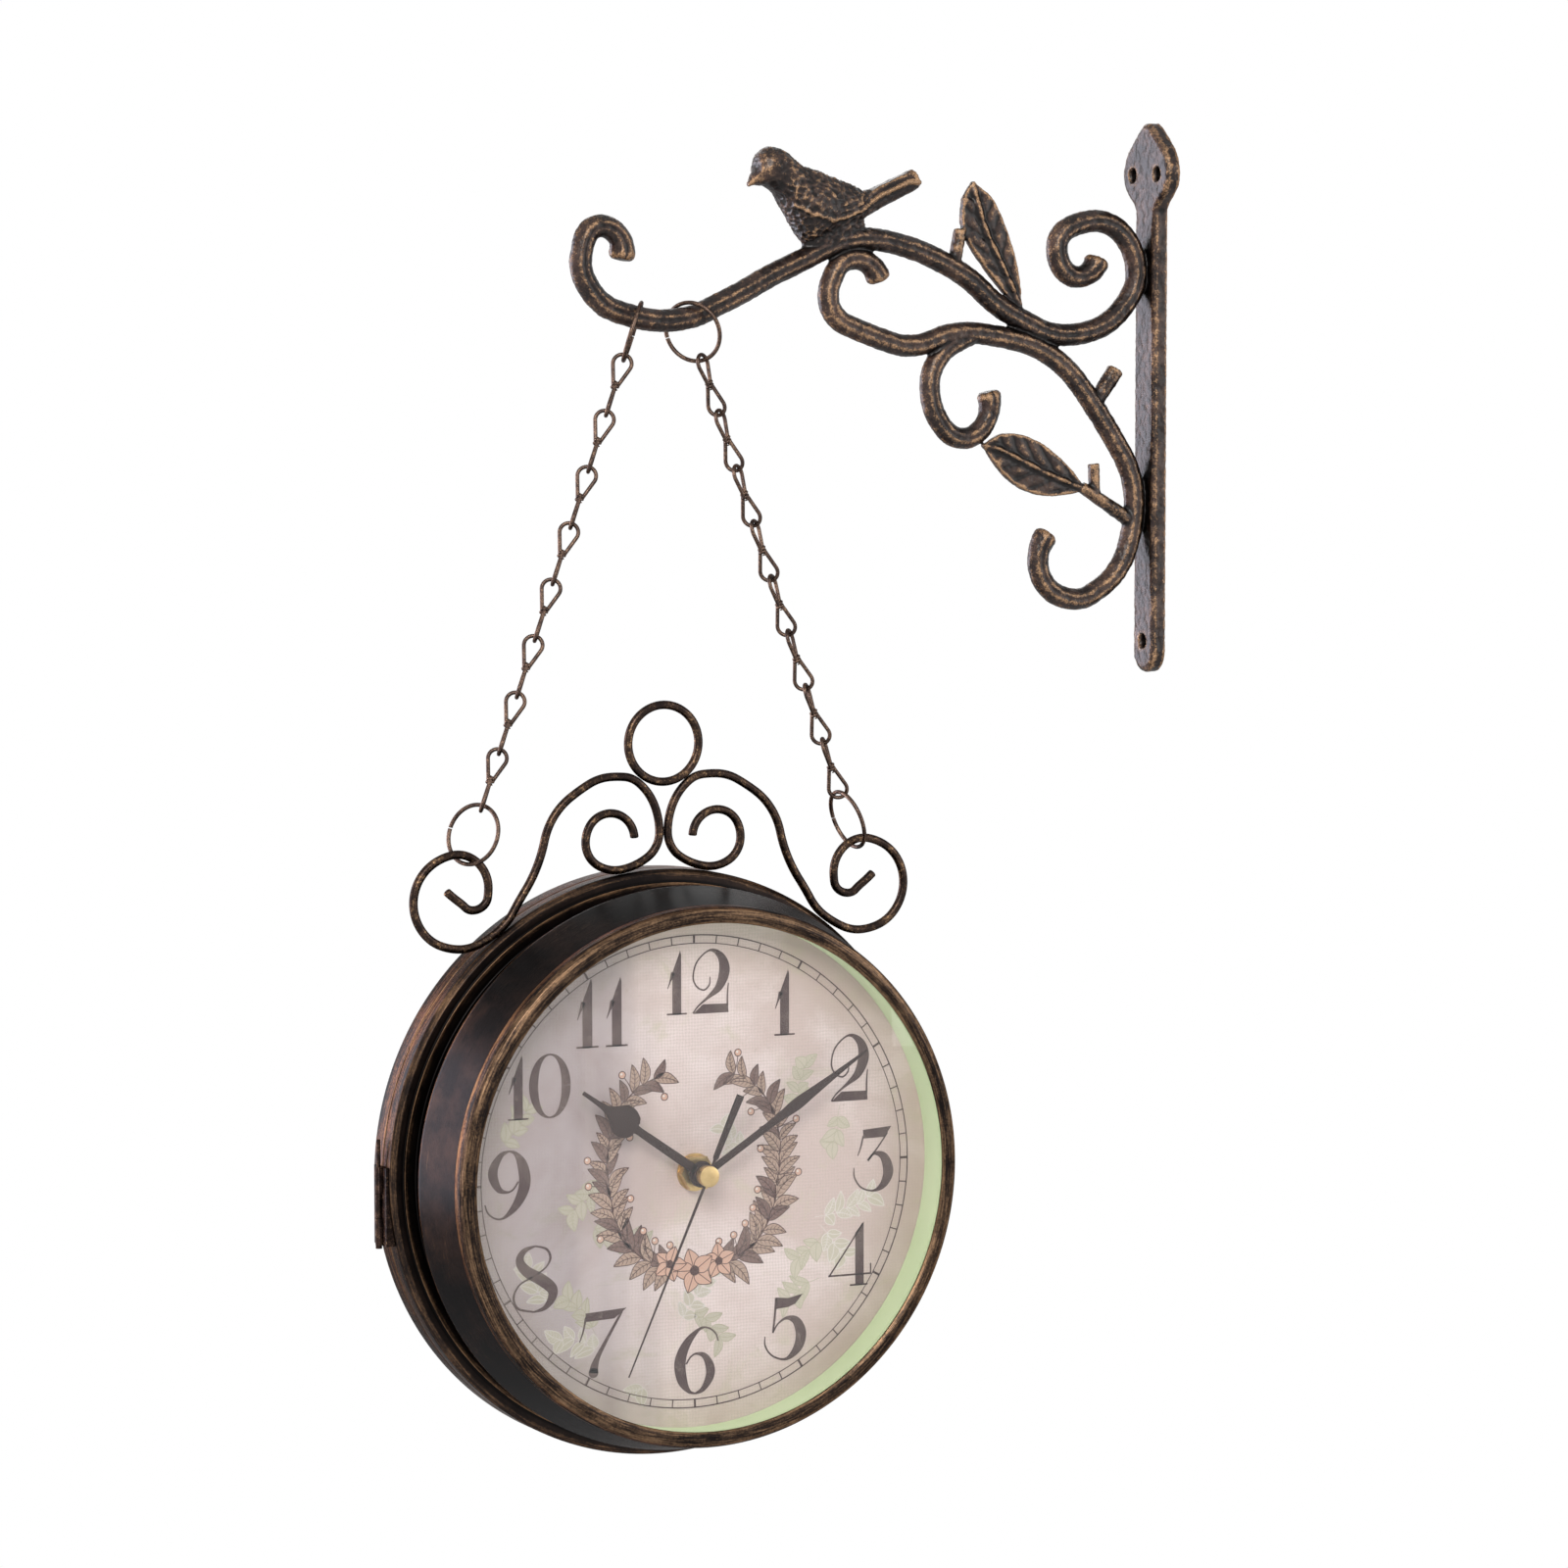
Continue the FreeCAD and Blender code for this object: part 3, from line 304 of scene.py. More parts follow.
def printed():
    s = Shade("dial_print", Specular_IOR_Level=0.3)
    mottle = s.noise(330.0, 4.0, 0.7)
    clouds = s.noise(60.0, 4.0, 0.6)
    shade = s.washed(s.attribute("tint", "Color"), mottle, 0.54, 0.80, 0.30, (0.50, 0.42, 0.37))
    s.colour(s.washed(shade, clouds, 0.40, 0.72, 0.14, (0.46, 0.38, 0.33)))
    s.rough(s.step(mottle, 0.3, 0.7, 0.55, 0.7))
    s.bump(mottle, 0.1, 0.00005)
    return s.mat


def pane():
    """Clear glass that lets shadow and diffuse rays straight through."""
    s = Shade("clear_glass", Transmission_Weight=1.0, IOR=1.46, Specular_IOR_Level=0.1)
    s.colour((0.97, 0.985, 0.98, 1.0))
    s.rough(0.0)
    path = s.node("ShaderNodeLightPath")
    through = s.math("MAXIMUM", path.outputs["Is Shadow Ray"], path.outputs["Is Diffuse Ray"])
    s.mixed_with(through, s.node("ShaderNodeBsdfTransparent").outputs[0])
    return s.mat


DARK = (0.0150, 0.0096, 0.0088)
BROWN = (0.057, 0.0335, 0.0260)
GOLD = (0.40, 0.237, 0.128)
COPPER = (0.21, 0.118, 0.062)
CASE_DARK = (0.0075, 0.0050, 0.0048)
CASE_BROWN = (0.0225, 0.0138, 0.0110)
CAST = bronze("cast_bronze", DARK, BROWN, GOLD, 120.0, 1.11, 1.70, 1400.0, worn=0.46, pits=1.0, gloss=0.42,
              coat=0.5)
CASE = bronze("case_bronze", CASE_DARK, CASE_BROWN, COPPER, 55.0, 1.24, 1.76, 1200.0, brushed=0.7, worn=0.48,
              gloss=0.38, coat=0.16)
BEZEL = bronze("bezel_bronze", CASE_DARK, CASE_BROWN, (0.27, 0.162, 0.092), 55.0, 1.12, 1.66, 1200.0,
               brushed=0.7, gloss=0.38, coat=0.12)
CROWN = bronze("crown_bronze", (0.018, 0.0118, 0.0100), (0.050, 0.030, 0.0215), (0.40, 0.248, 0.130), 210.0,
               0.74, 1.08, 900.0, pits=0.2, gloss=0.32, coat=0.1, speck=0.9)
CHAIN = bronze("chain_bronze", (0.040, 0.026, 0.022), (0.084, 0.053, 0.041), (0.32, 0.205, 0.135), 260.0,
               1.05, 1.45, 2200.0, pits=0.25, gloss=0.34, coat=0.2)
HINGE = bronze("hinge_bronze", DARK, BROWN, (0.37, 0.24, 0.128), 300.0, 1.16, 1.56, 1900.0, pits=0.4,
               gloss=0.34, coat=0.1)
REVEAL = paint("reveal_green", (0.56, 0.70, 0.40), (0.64, 0.76, 0.47), 25.0, 0.55, 0.68, 900.0, 0.08)
HANDS = paint("hand_paint", (0.026, 0.0122, 0.0112), (0.031, 0.0150, 0.0140), 120.0, 0.50, 0.54, 1400.0, 0.01,
              specular=0.2)
BRASS = paint("brass", (0.54, 0.36, 0.15), (0.66, 0.47, 0.22), 300.0, 0.28, 0.40, 2500.0, 0.06, metallic=1.0)
STEEL = paint("clip_steel", (0.42, 0.42, 0.43), (0.56, 0.56, 0.57), 200.0, 0.28, 0.42, 2600.0, 0.08,
              metallic=1.0)
PLASTIC = paint("movement_plastic", (0.018, 0.018, 0.019), (0.030, 0.030, 0.032), 90.0, 0.42, 0.56, 2400.0,
                0.25)
CAN = paint("battery_can", (0.07, 0.10, 0.19), (0.10, 0.14, 0.25), 70.0, 0.28, 0.36, 1800.0, 0.05,
            metallic=0.4)
KNOB = paint("knob_plastic", (0.55, 0.54, 0.51), (0.66, 0.65, 0.62), 110.0, 0.40, 0.52, 2200.0, 0.15)
PAPERS = {side: paper("dial_paper_" + name, side) for side, name in ((-1, "front"), (1, "rear"))}
PRINT = printed()
GLASS = pane()


# Meshes
def place(obj, body, replaces):
    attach(obj, body)
    if replaces:
        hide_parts(*replaces)


def make(name, verts, faces, material, sharp=40.0, offset=(0, 0, 0)):
    mesh = bpy.data.meshes.new(name)
    moved = (np.asarray(verts, float) + np.asarray(offset, float)) * MM
    mesh.from_pydata(moved.tolist(), [], faces)
    mesh.validate()
    mesh.materials.append(material)
    mesh.shade_smooth()
    mesh.set_sharp_from_angle(angle=math.radians(sharp))
    obj = bpy.data.objects.new(name, mesh)
    bpy.context.scene.collection.objects.link(obj)
    return obj


def outward(obj, direction=None):
    """Faces turned outwards, or those of a flat piece turned towards a direction."""
    work = bmesh.new()
    work.from_mesh(obj.data)
    if direction is None:
        bmesh.ops.recalc_face_normals(work, faces=work.faces)
    else:
        flip = [face for face in work.faces if face.normal.dot(direction) < 0]
        bmesh.ops.reverse_faces(work, faces=flip)
    work.to_mesh(obj.data)
    work.free()


def set_wear(obj, values):
    attribute = obj.data.attributes.new("wear", "FLOAT", "POINT")
    attribute.data.foreach_set("value", np.asarray(values, np.float32))


def wire_piece(name, verts, faces, material, body, node, slot, offset=(0, 0, 0)):
    piece = make(name, verts, faces, material, offset=offset)
    set_wear(piece, np.zeros(len(verts)))
    place(piece, body, [node])


def loft(rows, closed=False):
    """Quads between rows of points that each go once round a section, with caps if the loft is open."""
    count = len(rows[0])
    verts = [point for row in rows for point in row]
    faces = []
    last = len(rows) if closed else len(rows) - 1
    for i in range(last):
        here = i * count
        after = (i + 1) % len(rows) * count
        for j in range(count):
            k = (j + 1) % count
            faces.append((here + j, here + k, after + k, after + j))
    if not closed:
        faces.append(tuple(range(count - 1, -1, -1)))
        faces.append(tuple(range(len(verts) - count, len(verts))))
    return verts, faces


def merged(parts):
    verts, faces = [], []
    for more, polygons in parts:
        start = len(verts)
        verts += [tuple(v) for v in more]
        faces += [tuple(i + start for i in polygon) for polygon in polygons]
    return verts, faces


# Paths of tangent arcs in an upright plane, as in the part's source
def minus(a, b):
    return (a[0] - b[0], a[1] - b[1])


def dot(a, b):
    return a[0] * b[0] + a[1] * b[1]


def unit(a, b):
    size = math.hypot(a, b)
    return (a / size, b / size)


def heading_to(end, start):
    return unit(*minus(end, start))


def heading_between(before, here, after):
    first = minus(here, before)
    then = minus(after, here)
    a = first[0] ** 2 + first[1] ** 2
    b = then[0] ** 2 + then[1] ** 2
    return unit(first[0] / a + then[0] / b, first[1] / a + then[1] / b)


def end_heading(heading, start, end):
    chord = heading_to(end, start)
    twice = 2 * dot(chord, heading)
    return (twice * chord[0] - heading[0], twice * chord[1] - heading[1])


def headings_of(points):
    inner = [heading_between(*points[i - 1:i + 2]) for i in range(1, len(points) - 1)]
    first = end_heading(inner[0], points[0], points[1])
    last = end_heading(inner[-1], points[-2], points[-1])
    return [first] + inner + [last]


def turned(vector, angle):
    return (vector[0] * math.cos(angle) - vector[1] * math.sin(angle),
            vector[0] * math.sin(angle) + vector[1] * math.cos(angle))


def arc_stations(start, heading, end, step):
    chord = minus(end, start)
    ahead = dot(chord, heading)
    aside = chord[1] * heading[0] - chord[0] * heading[1]
    turn = 2 * math.atan2(aside, ahead)
    radius = (ahead ** 2 + aside ** 2) / (2 * aside)
    centre = (start[0] - heading[1] * radius, start[1] + heading[0] * radius)
    count = max(2, math.ceil(abs(radius * turn) / step))
    stations = []
    for i in range(count):
        swung = turned(minus(start, centre), turn * i / count)
        stations.append(((centre[0] + swung[0], centre[1] + swung[1]), turned(heading, turn * i / count)))
    return stations, turned(heading, turn)


def stations_along(points, fixed=None, step=1.0):
    stations = []
    headings = [(fixed or {}).get(i, heading) for i, heading in enumerate(headings_of(points))]
    arrive_at = headings[0]
    for start, leave, end, arrive in zip(points, headings, points[1:], headings[1:]):
        chord = minus(end, start)
        pull = dot(chord, (leave[0] + arrive[0], leave[1] + arrive[1]))
        square = chord[0] ** 2 + chord[1] ** 2
        bend = 2 * (1 - leave[0] * arrive[0] - leave[1] * arrive[1])
        arm = square / (pull + math.sqrt(pull ** 2 + bend * square))
        middle = ((start[0] + end[0] + arm * (leave[0] - arrive[0])) / 2,
                  (start[1] + end[1] + arm * (leave[1] - arrive[1])) / 2)
        first, between = arc_stations(start, leave, middle, step)
        second, arrive_at = arc_stations(middle, between, end, step)
        stations += first + second
    return stations + [(points[-1], arrive_at)]


def section_row(point, heading, section, size=1.0, forward=0.0):
    x = point[0] + heading[0] * forward
    z = point[1] + heading[1] * forward
    return [(x - heading[1] * s * size, d * size, z + heading[0] * s * size) for s, d in section]


# Steps of a rounded end: share of the section, and share of the way out
ROUNDED_END = ((0.90, 0.55), (0.72, 0.9), (0.40, 1.0))


def swept(stations, section, tip=1.0, tip_length=1.0, start_tip=True, round_off=0.8):
    """A bar along stations; its free ends swell to tip times the section and are rounded off."""
    travel = [0.0]
    for (a, _), (b, _) in zip(stations, stations[1:]):
        travel.append(travel[-1] + math.dist(a, b))
    rows = []
    for (point, heading), gone in zip(stations, travel):
        left = travel[-1] - gone
        away = min(gone, left) if start_tip else left
        size = 1 + (tip - 1) * max(0.0, 1 - away / tip_length)
        rows.append(section_row(point, heading, section, size))
    for index, sign in ((0, -1), (len(stations) - 1, 1)):
        point, heading = stations[index]
        size = tip if start_tip or sign > 0 else 1.0
        for shrink, out in ROUNDED_END:
            row = section_row(point, heading, section, size * shrink, sign * out * round_off)
            rows = [row] + rows if sign < 0 else rows + [row]
    return loft(rows)


def circle(radius, sides):
    angles = [math.tau * i / sides for i in range(sides)]
    return [(radius * math.cos(a), radius * math.sin(a)) for a in angles]


def shrunk(outline, inset):
    """A closed outline moved inwards."""
    moved = []
    for i, (x, z) in enumerate(outline):
        before, after = outline[i - 1], outline[(i + 1) % len(outline)]
        run = heading_to(after, before)
        moved.append((x - run[1] * inset, z + run[0] * inset))
    return moved


# Bracket casting: bars, plate, leaves, twigs and bird, joined by a fine remesh like one pour of metal
def on_bracket(shares):
    return [(-ARM_ROOT - share[0] * (REACH - ARM_ROOT), share[1] * PLATE_HEIGHT) for share in shares]


def hump(distance, width):
    """1 at no distance, falling off smoothly over a width."""
    return np.exp(-(distance / width) ** 2)


def cast_section(width, depth):
    """Outline of an arm: on each face two ridges with a shallow groove between them, and bevelled sides."""
    w, d = width / 2, depth / 2
    face = [(1.0, 0.0), (0.97, 0.22), (0.87, 0.43), (0.70, 0.66), (0.46, 0.90), (0.33, 0.985), (0.24, 1.0),
            (0.11, 0.93), (0.0, 0.90)]
    side = face + [(-a, b) for a, b in reversed(face[:-1])]
    whole = side + [(a, -b) for a, b in reversed(side[1:-1])]
    return [(a * w, b * d) for a, b in whole]


def wall_plate():
    half = PLATE_WIDTH / 2
    foot = PLATE_ABOVE - PLATE_HEIGHT + half
    outline = [(half * math.sin(a), foot - half * math.cos(a)) for a in np.linspace(0, math.pi / 2, 9)]
    outline += [(half, z) for z in np.linspace(foot, -0.70 * PLATE_ABOVE, 30)[1:]]
    outline += [(half + 1.2, -12.2), (10.6, -10.6), (13.0, -8.8), (15.6, -6.2), (17.4, -3.2), (18.0, 0.0),
                (17.6, 3.2), (16.4, 6.4), (14.2, 9.6), (11.2, 12.4), (7.8, 15.4), (4.4, 18.2), (1.6, 19.7)]
    outline += [(-y, z) for y, z in reversed(outline[1:])]
    layers = [(0.0, 0.5), (-0.5, 0.0), (1.5 - PLATE_THICK, 0.0), (0.5 - PLATE_THICK, 0.9),
              (-PLATE_THICK, 2.0)]
    return loft([[(x, y, z) for y, z in shrunk(outline, inset)] for x, inset in layers])


def along(points, count):
    """Points at even steps along a smooth line through the given ones."""
    line = np.array(spread(points, 40 * len(points)))
    travel = np.concatenate([[0.0], np.cumsum(np.hypot(*np.diff(line, axis=0).T))])
    wanted = np.linspace(0.0, travel[-1], count + 1)
    return list(zip(np.interp(wanted, travel, line[:, 0]), np.interp(wanted, travel, line[:, 1])))


def cast_leaf(tip, down, stem, up):
    """A leaf between its two edges, with a rib, a rim and panels that slant between the veins."""
    count, across = 100, 30
    one = along(on_bracket([stem] + up + [tip]), count)
    two = along(on_bracket([stem] + down[::-1] + [tip]), count)
    length = math.dist(one[0], one[-1])
    rows = []
    for i, (a, b) in enumerate(zip(one, two)):
        half = math.dist(a, b) / 2
        u = i / count
        row = []
        for j in range(-across, across + 1):
            v = j / across
            sway = 1.6 * noise.noise(Vector((u * 3.0, v * 1.5, length)))
            slant = (u * length - abs(v) * half * 1.1 + sway) % VEIN_STEP / VEIN_STEP
            panel = (1 - (2 * slant - 1) ** 2) * (1 - abs(v) ** 6)
            flank = hump(abs(v) * half - 1.8, 0.6)
            rib = hump(v * half, 0.8)
            rim = hump((1 - abs(v)) * half, 0.9)
            deep = 1.25 + 0.6 * panel + 1.2 * rib - 0.35 * flank + 0.6 * rim
            deep *= min(1.0, 0.45 + 3.0 * min(u, 1 - u)) * (1.0 if abs(j) < across else 0.35)
            t = (v + 1) / 2
            row.append((a[0] + (b[0] - a[0]) * t, -deep, a[1] + (b[1] - a[1]) * t))
        rows.append(row + [(x, -y, z) for x, y, z in reversed(row)])
    return loft(rows)


def cast_twig(shares, width, depth, swell):
    start, end = on_bracket(shares)
    run = heading_to(end, start)
    long = math.dist(start, end)
    section = [(width / 2 * math.cos(a), depth / 2 * math.sin(a)) for a in np.linspace(0, math.tau, 17)[:-1]]
    rows = [section_row(start, run, section, 1.0 + (swell - 1) * t, long * t) for t in np.linspace(0, 1, 12)]
    rows.append(section_row(start, run, section, swell * 0.8, long + 0.5))
    return loft(rows)


def spread(values, count):
    """Values at more stations, by Catmull-Rom, over each station's share of the way."""
    values = np.asarray(values, float)
    padded = np.vstack([2 * values[0] - values[1], values, 2 * values[-1] - values[-2]])
    made = []
    for t in np.linspace(0, len(values) - 1, count):
        i = min(int(t), len(values) - 2)
        f = t - i
        a, b, c, d = padded[i:i + 4]
        bend = 2 * a - 5 * b + 4 * c - d
        twist = 3 * b - a - 3 * c + d
        made.append(0.5 * (2 * b + (c - a) * f + bend * f ** 2 + twist * f ** 3))
    return made


def oval(one, two, deep):
    """Points round an oval between two ends in the upright plane, as deep as given to each side."""
    middle, half = (one + two) / 2, (one - two) / 2
    ring = [(math.cos(a), math.sin(a)) for a in np.linspace(0, math.tau, 41)[:-1]]
    return [(middle[0] + half[0] * c, deep * s, middle[1] + half[1] * c) for c, s in ring]


def cast_bird():
    rows = []
    for station in spread(BIRD, 110):
        high, low = (np.array(point) for point in on_bracket([station[:2], station[2:4]]))
        rows.append(oval(high, low, max(station[4], 0.08) * BIRD_DEPTH / 2))
    front_top, front_low, rear_low, rear_top = (np.array(corner) for corner in on_bracket(BIRD_FOOT))
    foot = []
    for t in np.linspace(0, 1, 16):
        front, rear = front_top + (front_low - front_top) * t, rear_top + (rear_low - rear_top) * t
        foot.append(oval(front, rear, 6.4 - 2.4 * math.sin(math.pi / 2 * t)))
    return [loft(rows), loft(foot)]


def neighbours(mesh):
    pairs = np.empty(len(mesh.edges) * 2, np.int32)
    mesh.edges.foreach_get("vertices", pairs)
    return pairs.reshape(-1, 2)


def averaged(values, pairs):
    """The mean of each vertex's neighbours."""
    count = len(values)
    here, there = np.concatenate([pairs, pairs[:, ::-1]]).T
    share = np.maximum(np.bincount(here, minlength=count), 1)
    columns = values.reshape(count, -1).T
    out = [np.bincount(here, column[there], minlength=count) / share for column in columns]
    return np.stack(out, 1).reshape(values.shape)


def vectors(mesh, name):
    flat = np.empty(len(mesh.vertices) * 3, np.float64)
    mesh.vertices.foreach_get(name, flat)
    return flat.reshape(-1, 3)


def worn_by_shape(mesh, rounds):
    """From -1 in hollows to 1 on ridges, by how far a vertex stands out of its smoothed surface."""
    pairs = neighbours(mesh)
    points = vectors(mesh, "co")
    smooth = points
    for _ in range(rounds):
        smooth = averaged(smooth, pairs)
    raised = ((points - smooth) * vectors(mesh, "normal")).sum(1)
    for _ in range(2):
        raised = averaged(raised, pairs)
    middle, low, high = np.percentile(raised, [50, 4, 93])
    up = np.clip((raised - middle) / (high - middle), 0, 1.3)
    down = np.clip((middle - raised) / (middle - low), 0, 1.3)
    return up - down


def relief(points):
    """Height of feathers, wing edge and hammering at each point of the casting, in metres."""
    x, y, z = (points / MM).T
    height = np.zeros(len(points))
    wing = np.interp(x, *zip(*WING_EDGE))
    bird = (x > BIRD_SPAN[0]) & (x < BIRD_SPAN[1]) & (z > BIRD_RISE[0]) & (z < BIRD_RISE[1])
    for i in np.nonzero(bird & (z > np.interp(x, *BELLY)))[0]:
        spans = noise.voronoi(Vector((x[i] / 2.9 + z[i] / 7.0, y[i] / 3.4, z[i] / 2.3)))[0]
        feather = hump(spans[1] - spans[0], 0.14)
        body = min(1.0, max(0.25, (x[i] + 170) / 12)) * min(1.0, max(0.0, (-122 - x[i]) / 8))
        height[i] += FEATHER_HEIGHT * feather * body
    inside = bird & (x > WING_SPAN[0]) & (x < WING_SPAN[1])
    fade = np.clip((x - WING_SPAN[0]) / 8, 0, 1) * np.clip(np.abs(y) / 2.5, 0, 1)
    rise = 1.0 / (1.0 + np.exp(-(z - wing) / 0.4))
    rim = hump(z - wing - QUILL_RISES[0], 0.7)
    quills = sum(hump(z - wing - up - (x + 131) * 0.03, 0.55) for up in QUILL_RISES)
    back = np.clip((x + 146) / 10, 0, 1) * np.clip((-107 - x) / 6, 0, 1)
    height[inside] += (fade * (WING_HEIGHT * rise + WING_RIM * rim))[inside]
    height[inside] += (QUILL_HEIGHT * back * fade * quills)[inside]
    eye = np.hypot(x - EYE[0], z - EYE[1])
    height[bird] += (EYE_RING * hump(eye - 1.5, 0.45) + EYE_DOT * hump(eye, 0.6))[bird]
    for i, point in enumerate(points):
        height[i] += sum(deep * noise.noise(Vector(point) * scale) for deep, scale in HAMMERING)
    return height * MM


SCREWS = [(-SCREW_SPACING / 2, 0.0), (SCREW_SPACING / 2, 0.0),
          (0.0, PLATE_ABOVE - PLATE_HEIGHT + LOW_SCREW_RISE)]
TIP_LENGTH = 7.0
VOXEL = 0.5
SMOOTHING = (0.5, -0.52, 0.5, -0.52, 0.45)
WEAR_ROUNDS = 9
IN_HOLES = -1.3


def cast_parts():
    seats = [(-REACH - RING_SPREAD / 2, -SEAT_DROP), (-REACH + RING_SPREAD / 2, -SEAT_DROP)]
    hook = on_bracket(HOOK_TIP) + seats + on_bracket(HOOK_RUN)
    arms = [(hook, HOOK_WIDTH, 8.4, 1.20, True, 2.2), (on_bracket(STAY), 8.4, 8.0, 1.16, True, 2.0),
            (on_bracket(CURL), 8.2, 7.6, 1.18, False, 2.0)]
    parts = []
    for points, width, depth, swell, start_tip, round_off in arms:
        section = cast_section(width, depth)
        parts.append(swept(stations_along(points), section, swell, TIP_LENGTH, start_tip, round_off))
    parts += cast_bird()
    parts += [cast_leaf(*shares) for shares in zip(LEAF_TIPS, LEAF_DOWN, LEAF_STEMS, LEAF_UP)]
    parts += [cast_twig(shares, *size) for shares, size in zip(TWIGS, TWIG_SIZES)]
    return parts + [wall_plate()]


def screw_drills():
    """Cutters for the screw holes, wider at the front of the plate."""
    parts = []
    for y, z in SCREWS:
        parts.append(loft([[(x, y + a, z + b) for a, b in circle(SCREW_RADIUS + wider, 28)]
                           for x, wider in ((2.0, 0.0), (-5.0, 0.0), (-6.1, 0.9), (-9.0, 1.0))]))
    drill = make("drills", *merged(parts), CAST)
    outward(drill)
    return drill


def poured(parts):
    """One mesh of all the parts, with the screw holes cut."""
    whole = make("rough_casting", *merged(parts), CAST)
    drill = screw_drills()
    remesh = whole.modifiers.new("one_pour", "REMESH")
    remesh.mode = "VOXEL"
    remesh.voxel_size = VOXEL * MM
    cut = whole.modifiers.new("holes", "BOOLEAN")
    cut.operation = "DIFFERENCE"
    cut.solver = "EXACT"
    cut.object = drill
    seen = whole.evaluated_get(bpy.context.evaluated_depsgraph_get())
    mesh = bpy.data.meshes.new_from_object(seen)
    for scratch in (whole, drill):
        bpy.data.objects.remove(scratch)
    mesh.name = "casting"
    return mesh


def settle(mesh, points):
    """Vertices moved to new points, none of them past the wall."""
    points[:, 0] = np.minimum(points[:, 0], 0.0)
    mesh.vertices.foreach_set("co", points.ravel())
    mesh.update()


def bracket_casting():
    mesh = poured(cast_parts())
    pairs = neighbours(mesh)
    points = vectors(mesh, "co")
    for factor in SMOOTHING:
        points = points + factor * (averaged(points, pairs) - points)
    settle(mesh, points)
    moved = points + vectors(mesh, "normal") * relief(points)[:, None]
    settle(mesh, moved)
    mesh.shade_smooth()
    mesh.materials.clear()
    mesh.materials.append(CAST)
    obj = bpy.data.objects.new("casting", mesh)
    bpy.context.scene.collection.objects.link(obj)
    wear = worn_by_shape(mesh, WEAR_ROUNDS)
    faces_viewer = np.clip((np.abs(vectors(mesh, "normal")[:, 1]) - 0.15) / 0.45, 0.0, 1.0)
    wear = np.where(wear > 0, wear * (0.2 + 0.8 * faces_viewer), wear)
    x, y, z = (moved / MM).T
    for at_y, at_z in SCREWS:
        wear[(np.hypot(y - at_y, z - at_z) < SCREW_RADIUS + 0.5) & (x > 0.5 - PLATE_THICK)] = IN_HOLES
    set_wear(obj, wear)
    place(obj, "bracket", ["bracket_casting"])


bracket_casting()


# Crown wires on the flange
def on_crown(shares, side):
    return [(side * out * FLANGE_RADIUS, up * FLANGE_RADIUS) for out, up in shares]


def on_flange(share, side):
    stand = FLANGE_RADIUS + CROWN_WIRE / 2 + SEAT_GAP
    across = share * FLANGE_RADIUS
    return (side * across, math.sqrt(stand ** 2 - across ** 2))


HOOK_AT = on_crown([CROWN_HOOK], 1)[0]
SEAT_AT = (RING_SPREAD / 2, DROP - SEAT_DROP)
LEAN = math.atan2(HOOK_AT[0] - SEAT_AT[0], SEAT_AT[1] - HOOK_AT[1])
SEAT_POINT = on_crown([CROWN_SEAT], 1)[0]
SEAT_SPAN = (CROWN_RING_DIAMETER + CROWN_WIRE) / 2 + SEAT_GAP
SEAT_LIFT = math.sqrt(SEAT_SPAN ** 2 - SEAT_POINT[0] ** 2)


def crown_stations(side):
    outer = on_crown(CROWN_TAIL + [CROWN_HOOK] + CROWN_RUN, side)
    foot = on_flange(CROWN_FOOT, side)
    rise = on_crown(CROWN_MID + [CROWN_SEAT], side)
    inner = (side * (CROWN_WIRE / 2 + SEAT_GAP), CROWN_INNER * FLANGE_RADIUS)
    toe = on_flange(CROWN_TOE, side)
    points = outer + [foot] + rise + [inner, toe] + on_crown(CROWN_END, side)
    fixed = {len(CROWN_TAIL): (side * math.cos(LEAN), math.sin(LEAN)),
             points.index(foot): unit(-side * foot[1], side * foot[0]),
             points.index(rise[-1]): unit(-side * SEAT_LIFT, -SEAT_POINT[0]),
             points.index(inner): (0, -1),
             points.index(toe): unit(side * toe[1], -side * toe[0])}
    return stations_along(points, fixed, 0.8)


SIDES = ((-1, "left"), (1, "right"))
for side, name in SIDES:
    wire = swept(crown_stations(side), circle(CROWN_WIRE / 2, 16), round_off=0.45)
    wire_piece("crown_wire_" + name, *wire, CROWN, "clock", "crown_scroll_" + name, "crown_bronze", CLOCK)


def wire_ring(outer_diameter, wire, gap_degrees=0.0, sides=14, steps=96):
    """A ring of round wire about the x axis, closed, or cut where its two ends meet."""
    mean = (outer_diameter - wire) / 2
    gap = math.radians(gap_degrees)
    section = circle(wire / 2, sides)
    rows = []
    for i in range(steps + 1 if gap else steps):
        a = gap / 2 + (math.tau - gap) * i / steps
        rows.append([(d, (mean + s) * math.cos(a), (mean + s) * math.sin(a)) for s, d in section])
    return loft(rows, closed=not gap)


ring_verts, ring_faces = wire_ring(CROWN_RING_DIAMETER, CROWN_WIRE, sides=16, steps=120)
ring_verts = [(y, x, z + SEAT_POINT[1] + SEAT_LIFT) for x, y, z in ring_verts]
wire_piece("crown_loop", ring_verts, ring_faces, CROWN, "clock", "crown_ring", "crown_bronze", CLOCK)

